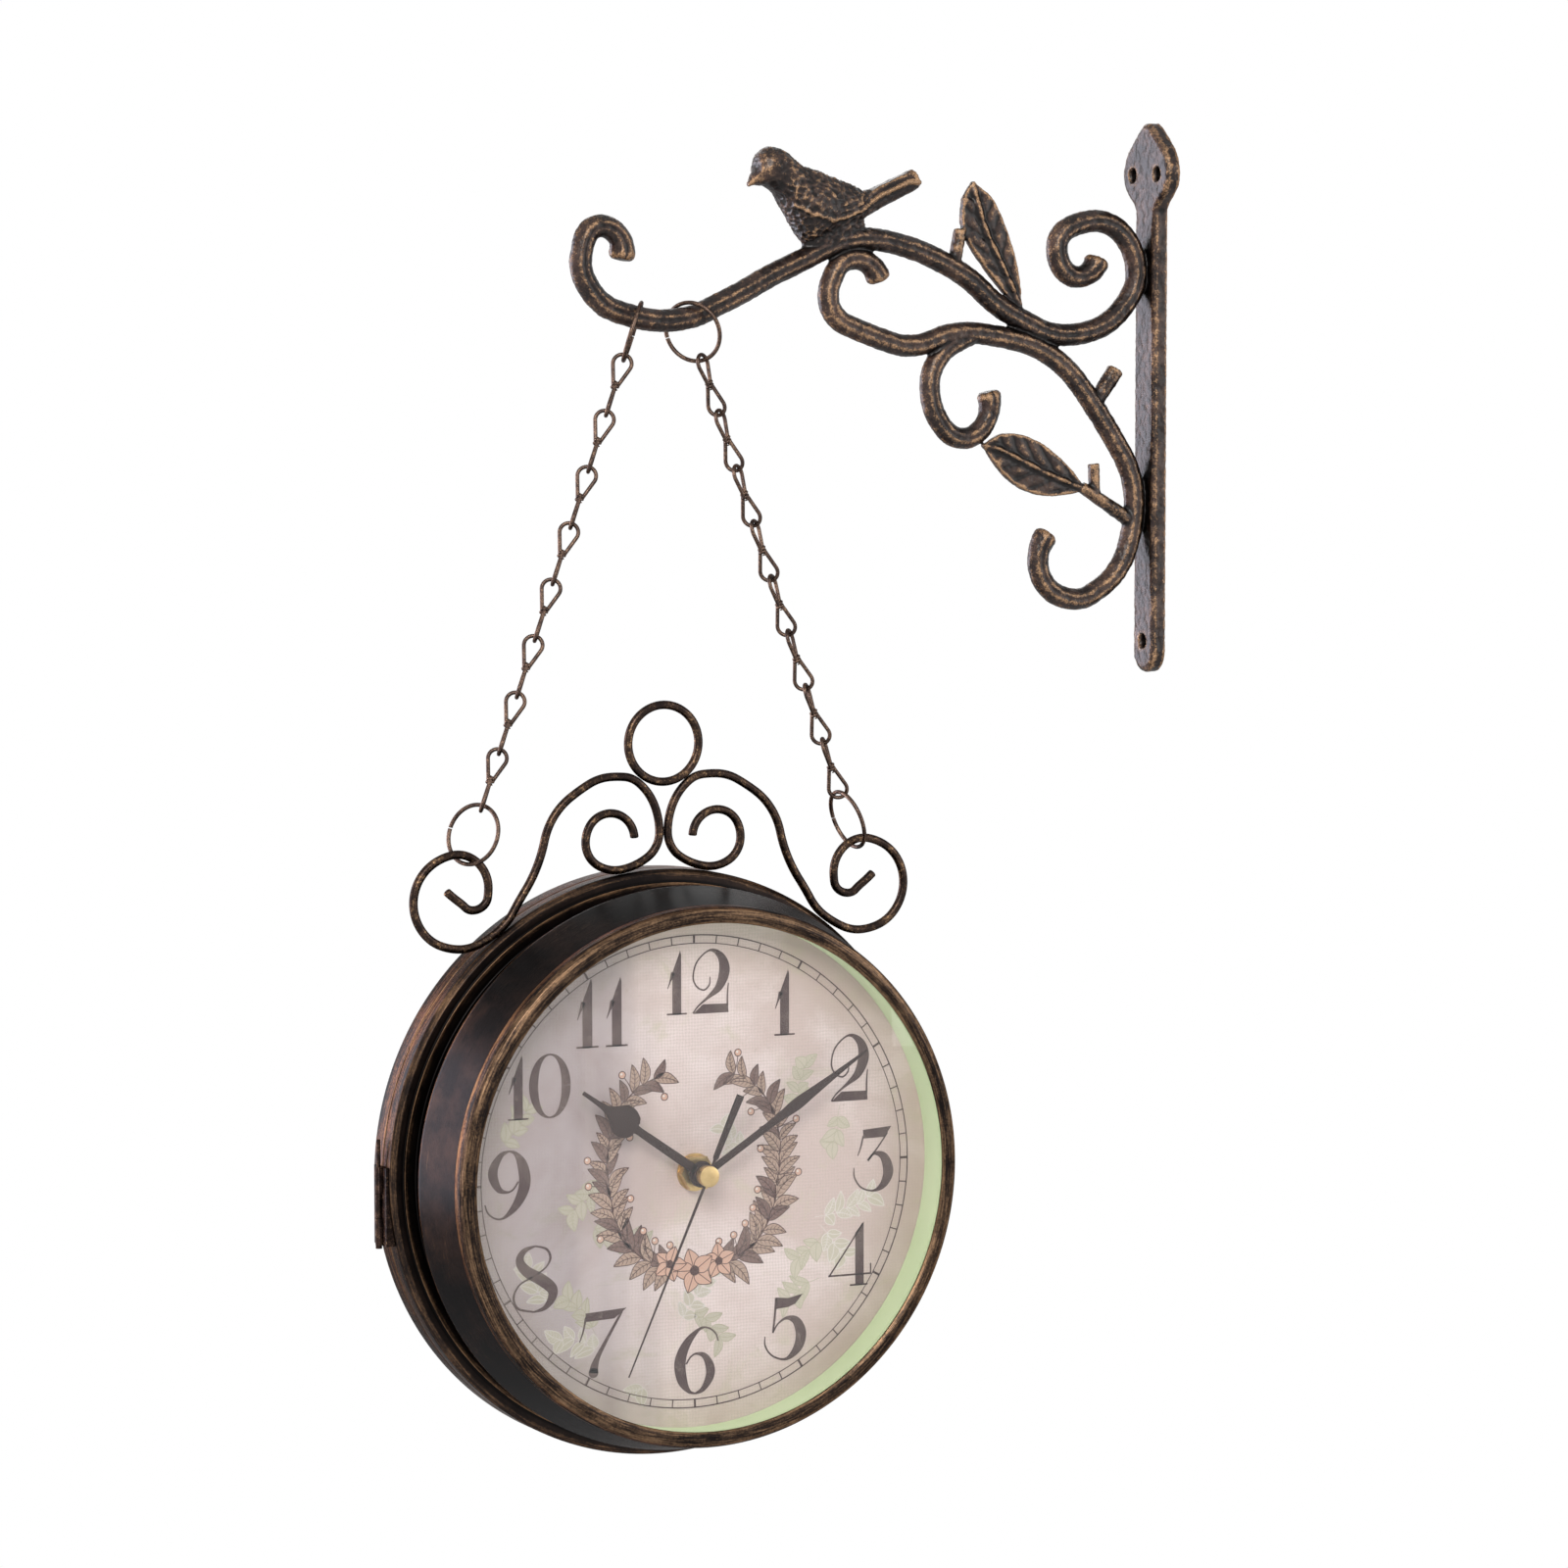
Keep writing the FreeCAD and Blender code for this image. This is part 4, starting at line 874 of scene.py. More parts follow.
# Chains: rings and jack-chain links, hung as in the part's source
RING_MEAN = (RING_DIAMETER - RING_WIRE) / 2
HANG_FIRST = RING_DIAMETER / 2 - RING_WIRE - (HOOK_WIDTH / 2 + 0.5) + RING_MEAN
CHAIN_LENGTH = math.dist(HOOK_AT, SEAT_AT)
LOW_PLAY = (CROWN_WIRE + RING_WIRE) / 2 + 0.5
RING_PLAY = (RING_WIRE + LINK_WIRE) / 2 + 0.6
LINK_PLAY = LINK_WIRE + 0.35
LINKS_FROM = HANG_FIRST - RING_PLAY
LINKS_TO = CHAIN_LENGTH + LOW_PLAY - 2 * RING_MEAN + RING_PLAY
LINK_LENGTH = (LINKS_TO - LINKS_FROM + (LINK_COUNT - 1) * LINK_PLAY) / LINK_COUNT
TWISTS = {"left": {"upper": -25, "eyes": 65, "drift": 0, "lower": 29},
          "right": {"upper": 36, "eyes": -54, "drift": 3, "lower": 3}}


def eye_stations():
    """One eye of a link: up one leg, round the bow and down the other leg."""
    bow = (EYE_WIDTH - LINK_WIRE) / 2
    centre = LINK_LENGTH / 2 - bow
    root = LINK_WIRE * 0.55
    far = math.hypot(root, centre)
    lean = math.atan2(centre, -root) - math.asin(bow / far)
    reach_up = math.sqrt(far ** 2 - bow ** 2)
    touch = (root + reach_up * math.cos(lean), reach_up * math.sin(lean))
    start = math.atan2(touch[1] - centre, touch[0])
    sweep = np.linspace(start, math.pi - start, 28)
    bend = [((bow * math.cos(a), centre + bow * math.sin(a)), (-math.sin(a), math.cos(a))) for a in sweep]
    up = [((root + (touch[0] - root) * t, touch[1] * t), bend[0][1]) for t in np.linspace(0, 0.92, 9)]
    down = [((-x, z), bend[-1][1]) for (x, z), _ in reversed(up)]
    return up + bend + down


def wound_waist():
    """Two and a half turns of the wire's end round the link's middle."""
    rows = []
    turns, steps, wire, mean, half = 2.6, 64, 1.15, 1.08, 1.6
    for i in range(steps + 1):
        t = i / steps
        a = math.tau * turns * t
        z = -half + 2 * half * t
        size = wire / 2 * min(1.0, 0.35 + 6 * min(t, 1 - t))
        section = [(mean + s * size, z + d * size) for s, d in circle(1.0, 10)]
        rows.append([(out * math.cos(a), out * math.sin(a), up) for out, up in section])
    return loft(rows)


def hung(side, twist, distance):
    """Where a piece of a chain hangs: at a distance down its line from the hook, turned about that line."""
    turn = Matrix.Rotation(math.radians(twist), 4, "Z")
    down = Matrix.Translation((0, 0, -distance))
    lean = Matrix.Rotation(-side * LEAN, 4, "Y")
    seat = Matrix.Translation((side * SEAT_AT[0], 0, SEAT_AT[1]))
    return Matrix.Translation(CLOCK) @ seat @ lean @ down @ turn


upper_eye = swept(eye_stations(), circle(LINK_WIRE / 2, 12))
lower_eye = ([(-y, -x, -z) for x, y, z in upper_eye[0]], [tuple(reversed(face)) for face in upper_eye[1]])
LINK = merged([upper_eye, lower_eye, wound_waist()])
RING = wire_ring(RING_DIAMETER, RING_WIRE, 2.0)


def hang(name, shape, matrix, body, node):
    verts = [matrix @ Vector(v) for v in shape[0]]
    wire_piece(name, verts, shape[1], CHAIN, body, node, "chain_bronze")


for side, name in SIDES:
    twist = TWISTS[name]
    body = "chain_" + name
    top = hung(side, twist["upper"], HANG_FIRST - RING_MEAN)
    hang("hook_ring_" + name, RING, top, "hook_rings", "upper_ring_" + name)
    for number in range(LINK_COUNT):
        middle = LINKS_FROM + LINK_LENGTH / 2 + number * (LINK_LENGTH - LINK_PLAY)
        turn = hung(side, twist["eyes"] + twist["drift"] * number - 90, middle)
        tag = str(number + 1)
        hang("link_" + name + "_" + tag, LINK, turn, body, "chain_" + name + "_link_" + tag)
    bottom = hung(side, twist["lower"], CHAIN_LENGTH + LOW_PLAY - RING_MEAN)
    hang("crown_hook_ring_" + name, RING, bottom, body, "lower_ring_" + name)


# Turned pieces
TURNED_SHARP = 50.0
SHARP_TURN = math.radians(75)
# Distance beyond a rounded corner, and the share of the corner's wear there
SHOULDERS = ((2.6, 0.0), (1.1, 0.45))


def rounded(profile):
    """Points (radius, y, wear) along a profile with rounded corners; ridges get wear 1, hollows -1."""
    area = sum(a[0] * b[1] - b[0] * a[1] for a, b in zip(profile, profile[1:] + profile[:1]))
    points = []
    for i, (r, y, corner) in enumerate(profile):
        before, after = profile[i - 1], profile[(i + 1) % len(profile)]
        back = heading_to(before, (r, y))
        ahead = heading_to(after, (r, y))
        cross = back[1] * ahead[0] - back[0] * ahead[1]
        limit = 0.45 * min(math.dist((r, y), before[:2]), math.dist((r, y), after[:2]))
        cosine = max(-1.0, min(1.0, dot(back, ahead)))
        half = math.acos(cosine) / 2
        wear = min(1.0, (math.pi - 2 * half) / SHARP_TURN) * (1 if cross * area > 0 else -1)
        cut = min(corner / math.tan(half), limit)
        shoulders = [(cut + extra, wear * level) for extra, level in SHOULDERS if cut + extra < limit]
        points += [(r + back[0] * far, y + back[1] * far, level) for far, level in shoulders]
        start = (r + back[0] * cut, y + back[1] * cut)
        end = (r + ahead[0] * cut, y + ahead[1] * cut)
        for t in np.linspace(0, 1, 6):
            a, b, c = (1 - t) ** 2, 2 * t * (1 - t), t ** 2
            points.append((a * start[0] + b * r + c * end[0], a * start[1] + b * y + c * end[1], wear))
        points += [(r + ahead[0] * far, y + ahead[1] * far, level) for far, level in reversed(shoulders)]
    return points


def spun(profile, segments=240, start=0.0, sweep=math.tau):
    """A closed profile of corners (radius, y, corner radius), rounded and spun about the clock's axis."""
    points = rounded(profile)
    whole = sweep >= math.tau - 1e-6
    rows = []
    for i in range(segments if whole else segments + 1):
        a = start + sweep * i / segments
        rows.append([(r * math.cos(a), y, r * math.sin(a)) for r, y, _ in points])
    verts, faces = loft(rows, closed=whole)
    return verts, faces, [wear for _ in rows for _, _, wear in points]


def turned_piece(name, profile, material, body, nodes, segments=240):
    verts, faces, wear = spun(profile, segments)
    piece = make(name, verts, faces, material, TURNED_SHARP, CLOCK)
    outward(piece)
    set_wear(piece, wear)
    place(piece, body, nodes)


turned_piece("front_drum", [
    (110.4, 6.2, 0.7), (110.4, -0.2, 1.6), (108.6, -2.0, 0.6), (105.5, -2.0, 0.4), (105.5, -3.0, 0.4),
    (101.0, -3.0, 0.6), (101.0, -16.0, 0.6), (105.5, -16.0, 0.6), (105.5, -18.0, 0.8), (99.2, -38.6, 0.5),
    (99.2, -42.7, 0.2), (98.0, -42.7, 0.2), (98.0, -38.6, 0.3), (104.3, -17.2, 0.3), (99.8, -17.2, 0.3),
    (99.8, -0.8, 0.3), (109.2, -0.8, 0.3), (109.2, 6.2, 0.3)], CASE, "clock", ["front_shell"])

NOTCH = math.asin(5.3 / 108.0)
drum = spun([(110.4, 6.6, 0.7), (110.4, 15.2, 1.6), (108.6, 17.0, 0.8), (100.0, 17.0, 0.8), (97.2, 34.6, 0.5),
             (97.2, 38.7, 0.2), (96.0, 38.7, 0.2), (96.0, 34.6, 0.3), (98.8, 15.8, 0.3), (107.7, 15.8, 0.3),
             (107.7, 6.6, 0.2)])
spigot = spun([(108.8, 2.2, 0.3), (108.8, 7.2, 0.1), (107.7, 7.2, 0.1), (107.7, 2.2, 0.3)], 230, NOTCH,
              math.tau - 2 * NOTCH)
rear = make("rear_drum", *merged([drum[:2], spigot[:2]]), CASE, TURNED_SHARP, CLOCK)
outward(rear)
set_wear(rear, drum[2] + spigot[2])
place(rear, "rear_half", ["rear_shell"])

# Dial print: numerals drawn as strokes of changing width
HAIR = 0.026
HALF_STEM = 0.075
THINNEST = 0.012


def ribbon(points, widths, count):
    """A stroke along a smooth line."""
    line = spread([(*p, w) for p, w in zip(points, widths)], count)
    left, right = [], []
    for i, (x, y, w) in enumerate(line):
        a, b = line[max(i - 1, 0)], line[min(i + 1, count - 1)]
        run = heading_to(b, a)
        half = max(w, THINNEST) / 2
        left.append((x - run[1] * half, y + run[0] * half))
        right.append((x + run[1] * half, y - run[0] * half))
    return left + right, [(i, count + i, count + i + 1, i + 1) for i in range(count - 1)]


def shape(*corners):
    return list(corners), [tuple(range(len(corners)))]


def blob(x, y, radius):
    return shape(*((x + a, y + b) for a, b in circle(radius, 20)))


def bar(x, low, high, width):
    return shape((x - width / 2, low), (x + width / 2, low), (x + width / 2, high), (x - width / 2, high))


# Tall numerals with thick stems and hairlines, one unit high about x = 0
ROUND = [(math.cos(a), math.sin(a)) for a in np.linspace(0, math.tau, 25)]
DIGITS = {
    0: [ribbon([(0.272 * c, 0.5 + 0.487 * s) for c, s in ROUND],
               [HAIR + 0.125 * abs(c) ** 1.6 for c, _ in ROUND], 72)],
    1: [shape((-HALF_STEM, 0.0), (HALF_STEM, 0.0), (HALF_STEM, 0.93), (0.058, 1.0), (-HALF_STEM, 0.66)),
        ribbon([(-0.060, 0.66), (-0.11, 0.53), (-0.155, 0.41)], [0.075, 0.030, 0.012], 10),
        bar(0.0, 0.0, HAIR, 0.34)],
    2: [ribbon([(-0.02, 0.567), (-0.034, 0.44), (-0.127, 0.365), (-0.25, 0.427), (-0.307, 0.58),
                (-0.236, 0.818), (-0.02, 0.982), (0.165, 0.88), (0.227, 0.66), (0.137, 0.41), (-0.05, 0.25),
                (-0.22, 0.12), (-0.31, 0.01)],
               [0.016, HAIR, HAIR, HAIR, HAIR, HAIR, 0.035, 0.12, 0.18, 0.13, 0.05, HAIR, HAIR], 80),
        shape((-0.31, 0.0), (0.295, 0.0), (0.282, 0.135), (-0.14, 0.145)),
        ribbon([(0.275, 0.10), (0.278, 0.30), (0.293, 0.46)], [0.03, HAIR, 0.016], 8)],
    3: [shape((-0.184, 0.963), (-0.17, 0.831), (0.188, 0.838), (0.302, 1.0)),
        ribbon([(-0.178, 0.87), (-0.215, 0.71), (-0.270, 0.569)], [HAIR, HAIR, 0.016], 8),
        ribbon([(0.235, 0.90), (0.07, 0.68), (-0.10, 0.484)], [HAIR, HAIR, 0.035], 10),
        ribbon([(-0.10, 0.484), (0.014, 0.59), (0.175, 0.53), (0.25, 0.306), (0.17, 0.11), (-0.003, 0.018),
                (-0.21, 0.078), (-0.323, 0.234), (-0.337, 0.39)],
               [0.03, 0.045, 0.13, 0.175, 0.12, 0.035, HAIR, HAIR, 0.016], 56)],
    4: [shape((0.093, 0.0), (0.24, 0.0), (0.24, 1.0), (0.093, 0.83)),
        ribbon([(0.225, 0.975), (-0.06, 0.58), (-0.36, 0.175)], [HAIR, HAIR, HAIR], 12),
        shape((-0.375, 0.165), (0.37, 0.165), (0.37, 0.193), (-0.375, 0.193)),
        bar(0.36, 0.165, 0.34, 0.022), bar(0.155, 0.0, HAIR, 0.31)],
    5: [shape((-0.143, 0.971), (-0.143, 0.797), (0.06, 0.815), (0.175, 0.857), (0.30, 1.0), (0.063, 0.949)),
        ribbon([(-0.145, 0.966), (-0.165, 0.70), (-0.197, 0.44)], [0.036, 0.034, 0.030], 8),
        ribbon([(-0.197, 0.45), (-0.11, 0.575), (0.03, 0.65), (0.19, 0.594), (0.267, 0.394), (0.206, 0.18),
                (0.016, 0.030), (-0.206, 0.094), (-0.324, 0.25), (-0.33, 0.394)],
               [HAIR, HAIR, 0.05, 0.13, 0.175, 0.14, 0.045, HAIR, HAIR, 0.016], 60)],
    6: [ribbon([(0.379, 0.769), (0.335, 0.887), (0.219, 0.974), (0.087, 0.972), (-0.087, 0.82),
                (-0.205, 0.62), (-0.240, 0.428), (-0.195, 0.205), (-0.095, 0.055), (0.006, 0.014)],
               [0.02, HAIR, HAIR, 0.04, 0.115, 0.165, 0.18, 0.15, 0.06, HAIR], 60),
        ribbon([(0.006, 0.014), (0.13, 0.073), (0.239, 0.244), (0.245, 0.40), (0.16, 0.56), (0.03, 0.606),
                (-0.065, 0.565), (-0.14, 0.46)], [0.03, 0.08, 0.135, 0.14, 0.09, 0.035, HAIR, HAIR], 44)],
    7: [shape((-0.277, 0.958), (-0.277, 0.834), (0.18, 0.855), (0.379, 1.0)),
        ribbon([(-0.272, 0.90), (-0.315, 0.70), (-0.373, 0.543)], [0.034, HAIR, 0.016], 8),
        ribbon([(0.30, 0.95), (0.07, 0.577), (-0.075, 0.33), (-0.135, 0.19), (-0.156, 0.075)],
               [0.035, 0.05, 0.075, 0.115, 0.152], 30),
        blob(-0.156, 0.076, 0.076)],
    8: [ribbon([(0.009, 0.985), (-0.165, 0.925), (-0.237, 0.784), (-0.136, 0.625), (0.095, 0.486),
                (0.268, 0.34), (0.265, 0.20), (0.153, 0.065), (-0.02, 0.014)],
               [HAIR, 0.08, 0.13, 0.16, 0.175, 0.165, 0.13, 0.07, HAIR], 60),
        ribbon([(0.009, 0.985), (0.182, 0.93), (0.246, 0.80), (0.182, 0.67), (0.05, 0.575)],
               [HAIR, 0.035, 0.038, HAIR, HAIR], 30),
        ribbon([(-0.03, 0.535), (-0.237, 0.434), (-0.337, 0.255), (-0.27, 0.083), (-0.02, 0.014)],
               [HAIR, HAIR, 0.036, 0.036, HAIR], 30)],
}
DIGITS[9] = [([(-x, 1 - y) for x, y in verts], faces) for verts, faces in DIGITS[6]]

# Colours and places of the print
INK = (0.052, 0.024, 0.025)
SEPIA = (0.062, 0.024, 0.022)
WASH = (0.375, 0.262, 0.205)
WASH_DARK = (0.165, 0.096, 0.082)
ROSE = (0.55, 0.335, 0.255)
GHOST = (0.505, 0.458, 0.372)
CREAM = (0.63, 0.58, 0.55)
OLIVE = (0.40, 0.375, 0.275)
LINE = 0.30
TRACKS = ((84.2, 0.34), (87.2, 0.45))
NUMERALS = (73.2, 70.0)
NUMERAL_HEIGHTS = (24.4, 24.9, 24.3, 23.8, 24.7, 25.0, 25.0, 24.8, 25.2, 23.5, 25.4, 23.6)
PAIR_STEP = [12.4, 11.6, 13.8] + [0.0] * 7
# Print levels: each island lies a little above those of lower levels
PRINT_LIFT = 0.02
LEVEL_STEP = 0.0012
TWIG_LEVEL, GHOST_LEVEL, STEM_LEVEL, LEAF_LEVEL, BERRY_LEVEL = 1, 2, 20, 22, 30
PETAL_LEVEL, HEART_LEVEL, TRACK_LEVEL, NUMERAL_LEVEL = 40, 52, 60, 64
PETALS = 5
GHOST_TWIGS, GHOST_STEP, GHOST_REACH = 17, 4.6, 82
STEM_POINTS, STEM_RADIUS, BERRY_REACH = 44, 34.5, 8.0
BLOSSOMS = ((0.0, -36.5, 8.6, 0.3), (-10.0, -33.4, 6.8, 0.9), (9.8, -33.6, 7.0, 0.1))


class Sheet:
    """Flat printing in dial coordinates: right, up, with a colour for each island."""

    def __init__(self):
        self.verts, self.faces, self.tints, self.levels = [], [], [], []

    def add(self, shape_of, tint, level, x=0.0, y=0.0, size=1.0, turn=0.0):
        start = len(self.verts)
        for a, b in shape_of[0]:
            u, v = turned((a * size, b * size), turn)
            self.verts.append((x + u, y + v))
            self.tints.append(tint)
            self.levels.append(level)
        self.faces += [tuple(i + start for i in face) for face in shape_of[1]]


def leaf_points(length, width, bend, count=14):
    spine, halves = [], []
    for t in np.linspace(0, 1, count):
        spine.append((bend * math.sin(math.pi * t) * length * 0.16, t * length))
        halves.append(width / 2 * math.sin(math.pi * min(1.0, t ** 0.8)) ** 0.9)
    return spine, halves


def print_leaf(sheet, x, y, turn, length, width, bend, fill, line, level, veins=True):
    at = (x, y, 1.0, turn)
    spine, halves = leaf_points(length, width, bend)
    sheet.add(ribbon(spine, [max(2 * h, 0.02) for h in halves], 16), fill, level, *at)
    for above, sign in enumerate((-1, 1), 1):
        edge = [(p[0] + sign * h, p[1]) for p, h in zip(spine, halves)]
        sheet.add(ribbon(edge, [LINE] * len(edge), 18), line, level + above, *at)
    sheet.add(ribbon(spine, [LINE] * len(spine), 14), line, level + 3, *at)
    if veins:
        for i, sign in itertools.product(range(2, 12, 2), (-1, 1)):
            a = spine[i]
            b = (a[0] + sign * halves[i] * 0.82, a[1] + length * 0.12)
            middle = ((a[0] + b[0]) / 2, (a[1] + b[1]) / 2 - LINE / 2)
            sheet.add(ribbon([a, middle, b], [0.26, 0.2, 0.1], 5), line, level + 1, *at)


def blossom(sheet, x, y, size, turn):
    for k in range(PETALS):
        lean = turn + math.tau * k / PETALS
        print_leaf(sheet, x, y, lean, size, size * 0.72, 0.0, ROSE, SEPIA, PETAL_LEVEL + 2 * k, False)
    sheet.add(blob(x, y, size * 0.22), SEPIA, HEART_LEVEL)


def ghost_leaves(sheet, draw):
    """Pale leafy twigs washed into the paper, mostly low on the dial, with painted shade that darkens them
    towards the viewer's left.
    """
    for _ in range(GHOST_TWIGS):
        a = draw.uniform(math.radians(165), math.radians(385))
        r = draw.uniform(52, 80) if draw.random() < 0.65 else draw.uniform(18, 52)
        x, y, heading = r * math.cos(a), r * math.sin(a), draw.uniform(0, math.tau)
        # Painted shade: the twigs darken towards the viewer's left, as the paper does
        painted_left_shade = 0.74 + 0.26 * min(max((x + 60) / 90, 0.0), 1.0)
        fill = tuple(painted_left_shade * c for c in GHOST)
        pale = tuple(painted_left_shade * c for c in (CREAM if draw.random() < 0.5 else OLIVE))
        for step in range(draw.randint(3, 5)):
            ahead = turned((0.0, GHOST_STEP), heading)
            run = [(x + ahead[0] * t, y + ahead[1] * t) for t in (0.0, 0.5, 1.0)]
            sheet.add(ribbon(run, [0.2, 0.2, 0.2], 5), pale, TWIG_LEVEL)
            x, y = run[-1]
            heading += draw.uniform(-0.35, 0.35)
            if math.hypot(x, y) > GHOST_REACH:
                break
            for fork in (-1, 1):
                lean = heading + fork * draw.uniform(0.6, 1.1)
                length = draw.uniform(5.0, 8.5)
                width = draw.uniform(3.0, 5.0)
                level = GHOST_LEVEL + 4 * (2 * (step % 2) + (fork > 0))
                veins = draw.random() < 0.4
                print_leaf(sheet, x, y, lean, length, width, fork * 0.5, fill, pale, level, veins)


def sprig(sheet, draw, sign):
    """One half of the wreath: a leafy stem with berries, from the foot of the dial's middle upwards."""
    stem = []
    for t in np.linspace(0, 1, STEM_POINTS):
        a = math.radians(-90) + sign * math.radians(7 + 152 * t)
        r = STEM_RADIUS + 1.8 * math.sin(t * 9.0) + 3.2 * t
        stem.append((r * math.cos(a), r * math.sin(a)))
    widths = [1.15 - 0.7 * i / STEM_POINTS for i in range(STEM_POINTS)]
    sheet.add(ribbon(stem, widths, 80), SEPIA, STEM_LEVEL)
    for i in range(2, STEM_POINTS, 2):
        before, (x, y) = stem[i - 1], stem[i]
        run = math.atan2(y - before[1], x - before[0]) - math.pi / 2
        for fork in (-1, 1):
            lean = run + fork * math.radians(draw.uniform(32, 60))
            size = draw.uniform(10.0, 13.5) * (1.0 - 0.25 * i / STEM_POINTS)
            fill = WASH if draw.random() < 0.5 else WASH_DARK
            line = SEPIA if fill is WASH else INK
            width = size * draw.uniform(0.36, 0.44)
            print_leaf(sheet, x, y, lean, size, width, fork * 0.6, fill, line, LEAF_LEVEL + i % 4)
        if i % 4 == 2:
            lean = run + draw.choice((-1, 1)) * math.radians(80)
            tip = (x - BERRY_REACH * math.sin(lean), y + BERRY_REACH * math.cos(lean))
            middle = ((x + tip[0]) / 2 + 0.4, (y + tip[1]) / 2)
            berry = (ribbon([(x, y), middle, tip], [0.45, 0.35, 0.3], 8), blob(*tip, 1.5), blob(*tip, 1.15),
                     blob(tip[0] - 0.3, tip[1] + 0.3, 0.45))
            for above, (island, tint) in enumerate(zip(berry, (SEPIA, SEPIA, ROSE, CREAM))):
                sheet.add(island, tint, BERRY_LEVEL + above)


def minute_track(sheet):
    for radius, width in TRACKS:
        ring = [(radius * math.cos(a), radius * math.sin(a)) for a in np.linspace(0, math.tau, 181)]
        sheet.add(ribbon(ring, [width] * len(ring), 361), INK, TRACK_LEVEL)
    low, high = (radius for radius, _ in TRACKS)
    for minute in range(60):
        mark = bar(0.0, low, high, 0.85 if minute % 5 == 0 else 0.45)
        sheet.add(mark, INK, TRACK_LEVEL, turn=-math.tau * minute / 60)


def numerals(sheet):
    for hour, high in enumerate(NUMERAL_HEIGHTS, 1):
        a = math.tau * hour / 12
        x, y = NUMERALS[0] * math.sin(a), NUMERALS[1] * math.cos(a)
        digits = [int(c) for c in str(hour)]
        for i, number in enumerate(digits):
            across = (i - (len(digits) - 1) / 2) * PAIR_STEP[digits[-1]]
            for stroke in DIGITS[number]:
                sheet.add(stroke, INK, NUMERAL_LEVEL, x + across, y - high / 2, high)


def dial_art(seed):
    """Minute track, numerals, and a wreath of leafy sprigs with blossoms in place of a picture."""
    draw = random.Random(seed)
    sheet = Sheet()
    ghost_leaves(sheet, draw)
    for sign in (-1, 1):
        sprig(sheet, draw, sign)
    for flower in BLOSSOMS:
        blossom(sheet, *flower)
    minute_track(sheet)
    numerals(sheet)
    return sheet


def print_on(name, sheet, side, face, body):
    """The sheet's islands, a few hundredths of a millimetre in front of the dial's face."""
    lifts = [face + side * (PRINT_LIFT + LEVEL_STEP * level) for level in sheet.levels]
    verts = [(-side * u, lift, v) for (u, v), lift in zip(sheet.verts, lifts)]
    piece = make(name, verts, sheet.faces, PRINT, offset=CLOCK)
    attribute = piece.data.attributes.new("tint", "FLOAT_COLOR", "POINT")
    attribute.data.foreach_set("color", np.asarray([(*t, 1.0) for t in sheet.tints], np.float32).ravel())
    piece.data.shade_flat()
    outward(piece, Vector((0, side, 0)))
    place(piece, body, [])


# Hands: plates with smooth outlines and softened edges
HOUR_LENGTH, MINUTE_LENGTH, SECOND_TAIL = 57.4, 79.0, 31.6
SECOND_TURN = math.tau * 34 / 60
MINUTE_TURN = (math.tau * 9 + SECOND_TURN) / 60
HOUR_TURN = (math.tau * 10 + MINUTE_TURN) / 12
HOUR_SHAPE = [(-0.06, 0.030), (0.10, 0.030), (0.40, 0.028), (0.545, 0.027), (0.556, 0.046), (0.576, 0.074),
              (0.610, 0.096), (0.650, 0.104), (0.690, 0.096), (0.725, 0.074), (0.762, 0.046), (0.805, 0.026),
              (0.870, 0.0170), (1.00, 0.0125)]
MINUTE_SHAPE = [(-0.04, 0.017), (0.05, 0.0175), (0.40, 0.0175), (0.48, 0.022), (0.57, 0.029), (0.66, 0.023),
                (0.80, 0.014), (1.00, 0.005)]
SECOND_SHAPE = [(-1.00, 0.038), (-0.98, 0.046), (-0.60, 0.042), (-0.27, 0.036), (-0.22, 0.032),
                (-0.19, 0.018), (0.00, 0.018), (1.2, 0.013), (2.50, 0.008)]
HAND_THICK = 0.6
HAND_SHARP = 35.0
# Each hand: outline, length, turn, height of its face over the dial, studs (radius, low, high) and cap
HAND_SET = {
    "hour": (HOUR_SHAPE, HOUR_LENGTH, HOUR_TURN, 6.8, [(4.9, 0.0, 0.6), (2.8, -6.0, 0.5)], None),
    "minute": (MINUTE_SHAPE, MINUTE_LENGTH, MINUTE_TURN, 9.2, [(4.3, 0.0, 0.6), (1.75, -8.6, 0.5)], None),
    "second": (SECOND_SHAPE, SECOND_TAIL, SECOND_TURN, 12.6, [(3.0, -0.4, 0.5), (0.5, -11.6, 0.0)],
               (4.0, 0.2, 1.7)),
}


def hand_outline(stations, length):
    line = spread([(a * length, b * length) for a, b in stations], 70)
    right = [(max(h, 0.25), d) for d, h in line]
    return right + [(-x, z) for x, z in reversed(right)]


def stud(near, side, steps, sides):
    """A round stud on the clock's axis, from steps of height and radius."""
    return loft([[(a, near + side * lift, b) for a, b in circle(radius, sides)] for lift, radius in steps])


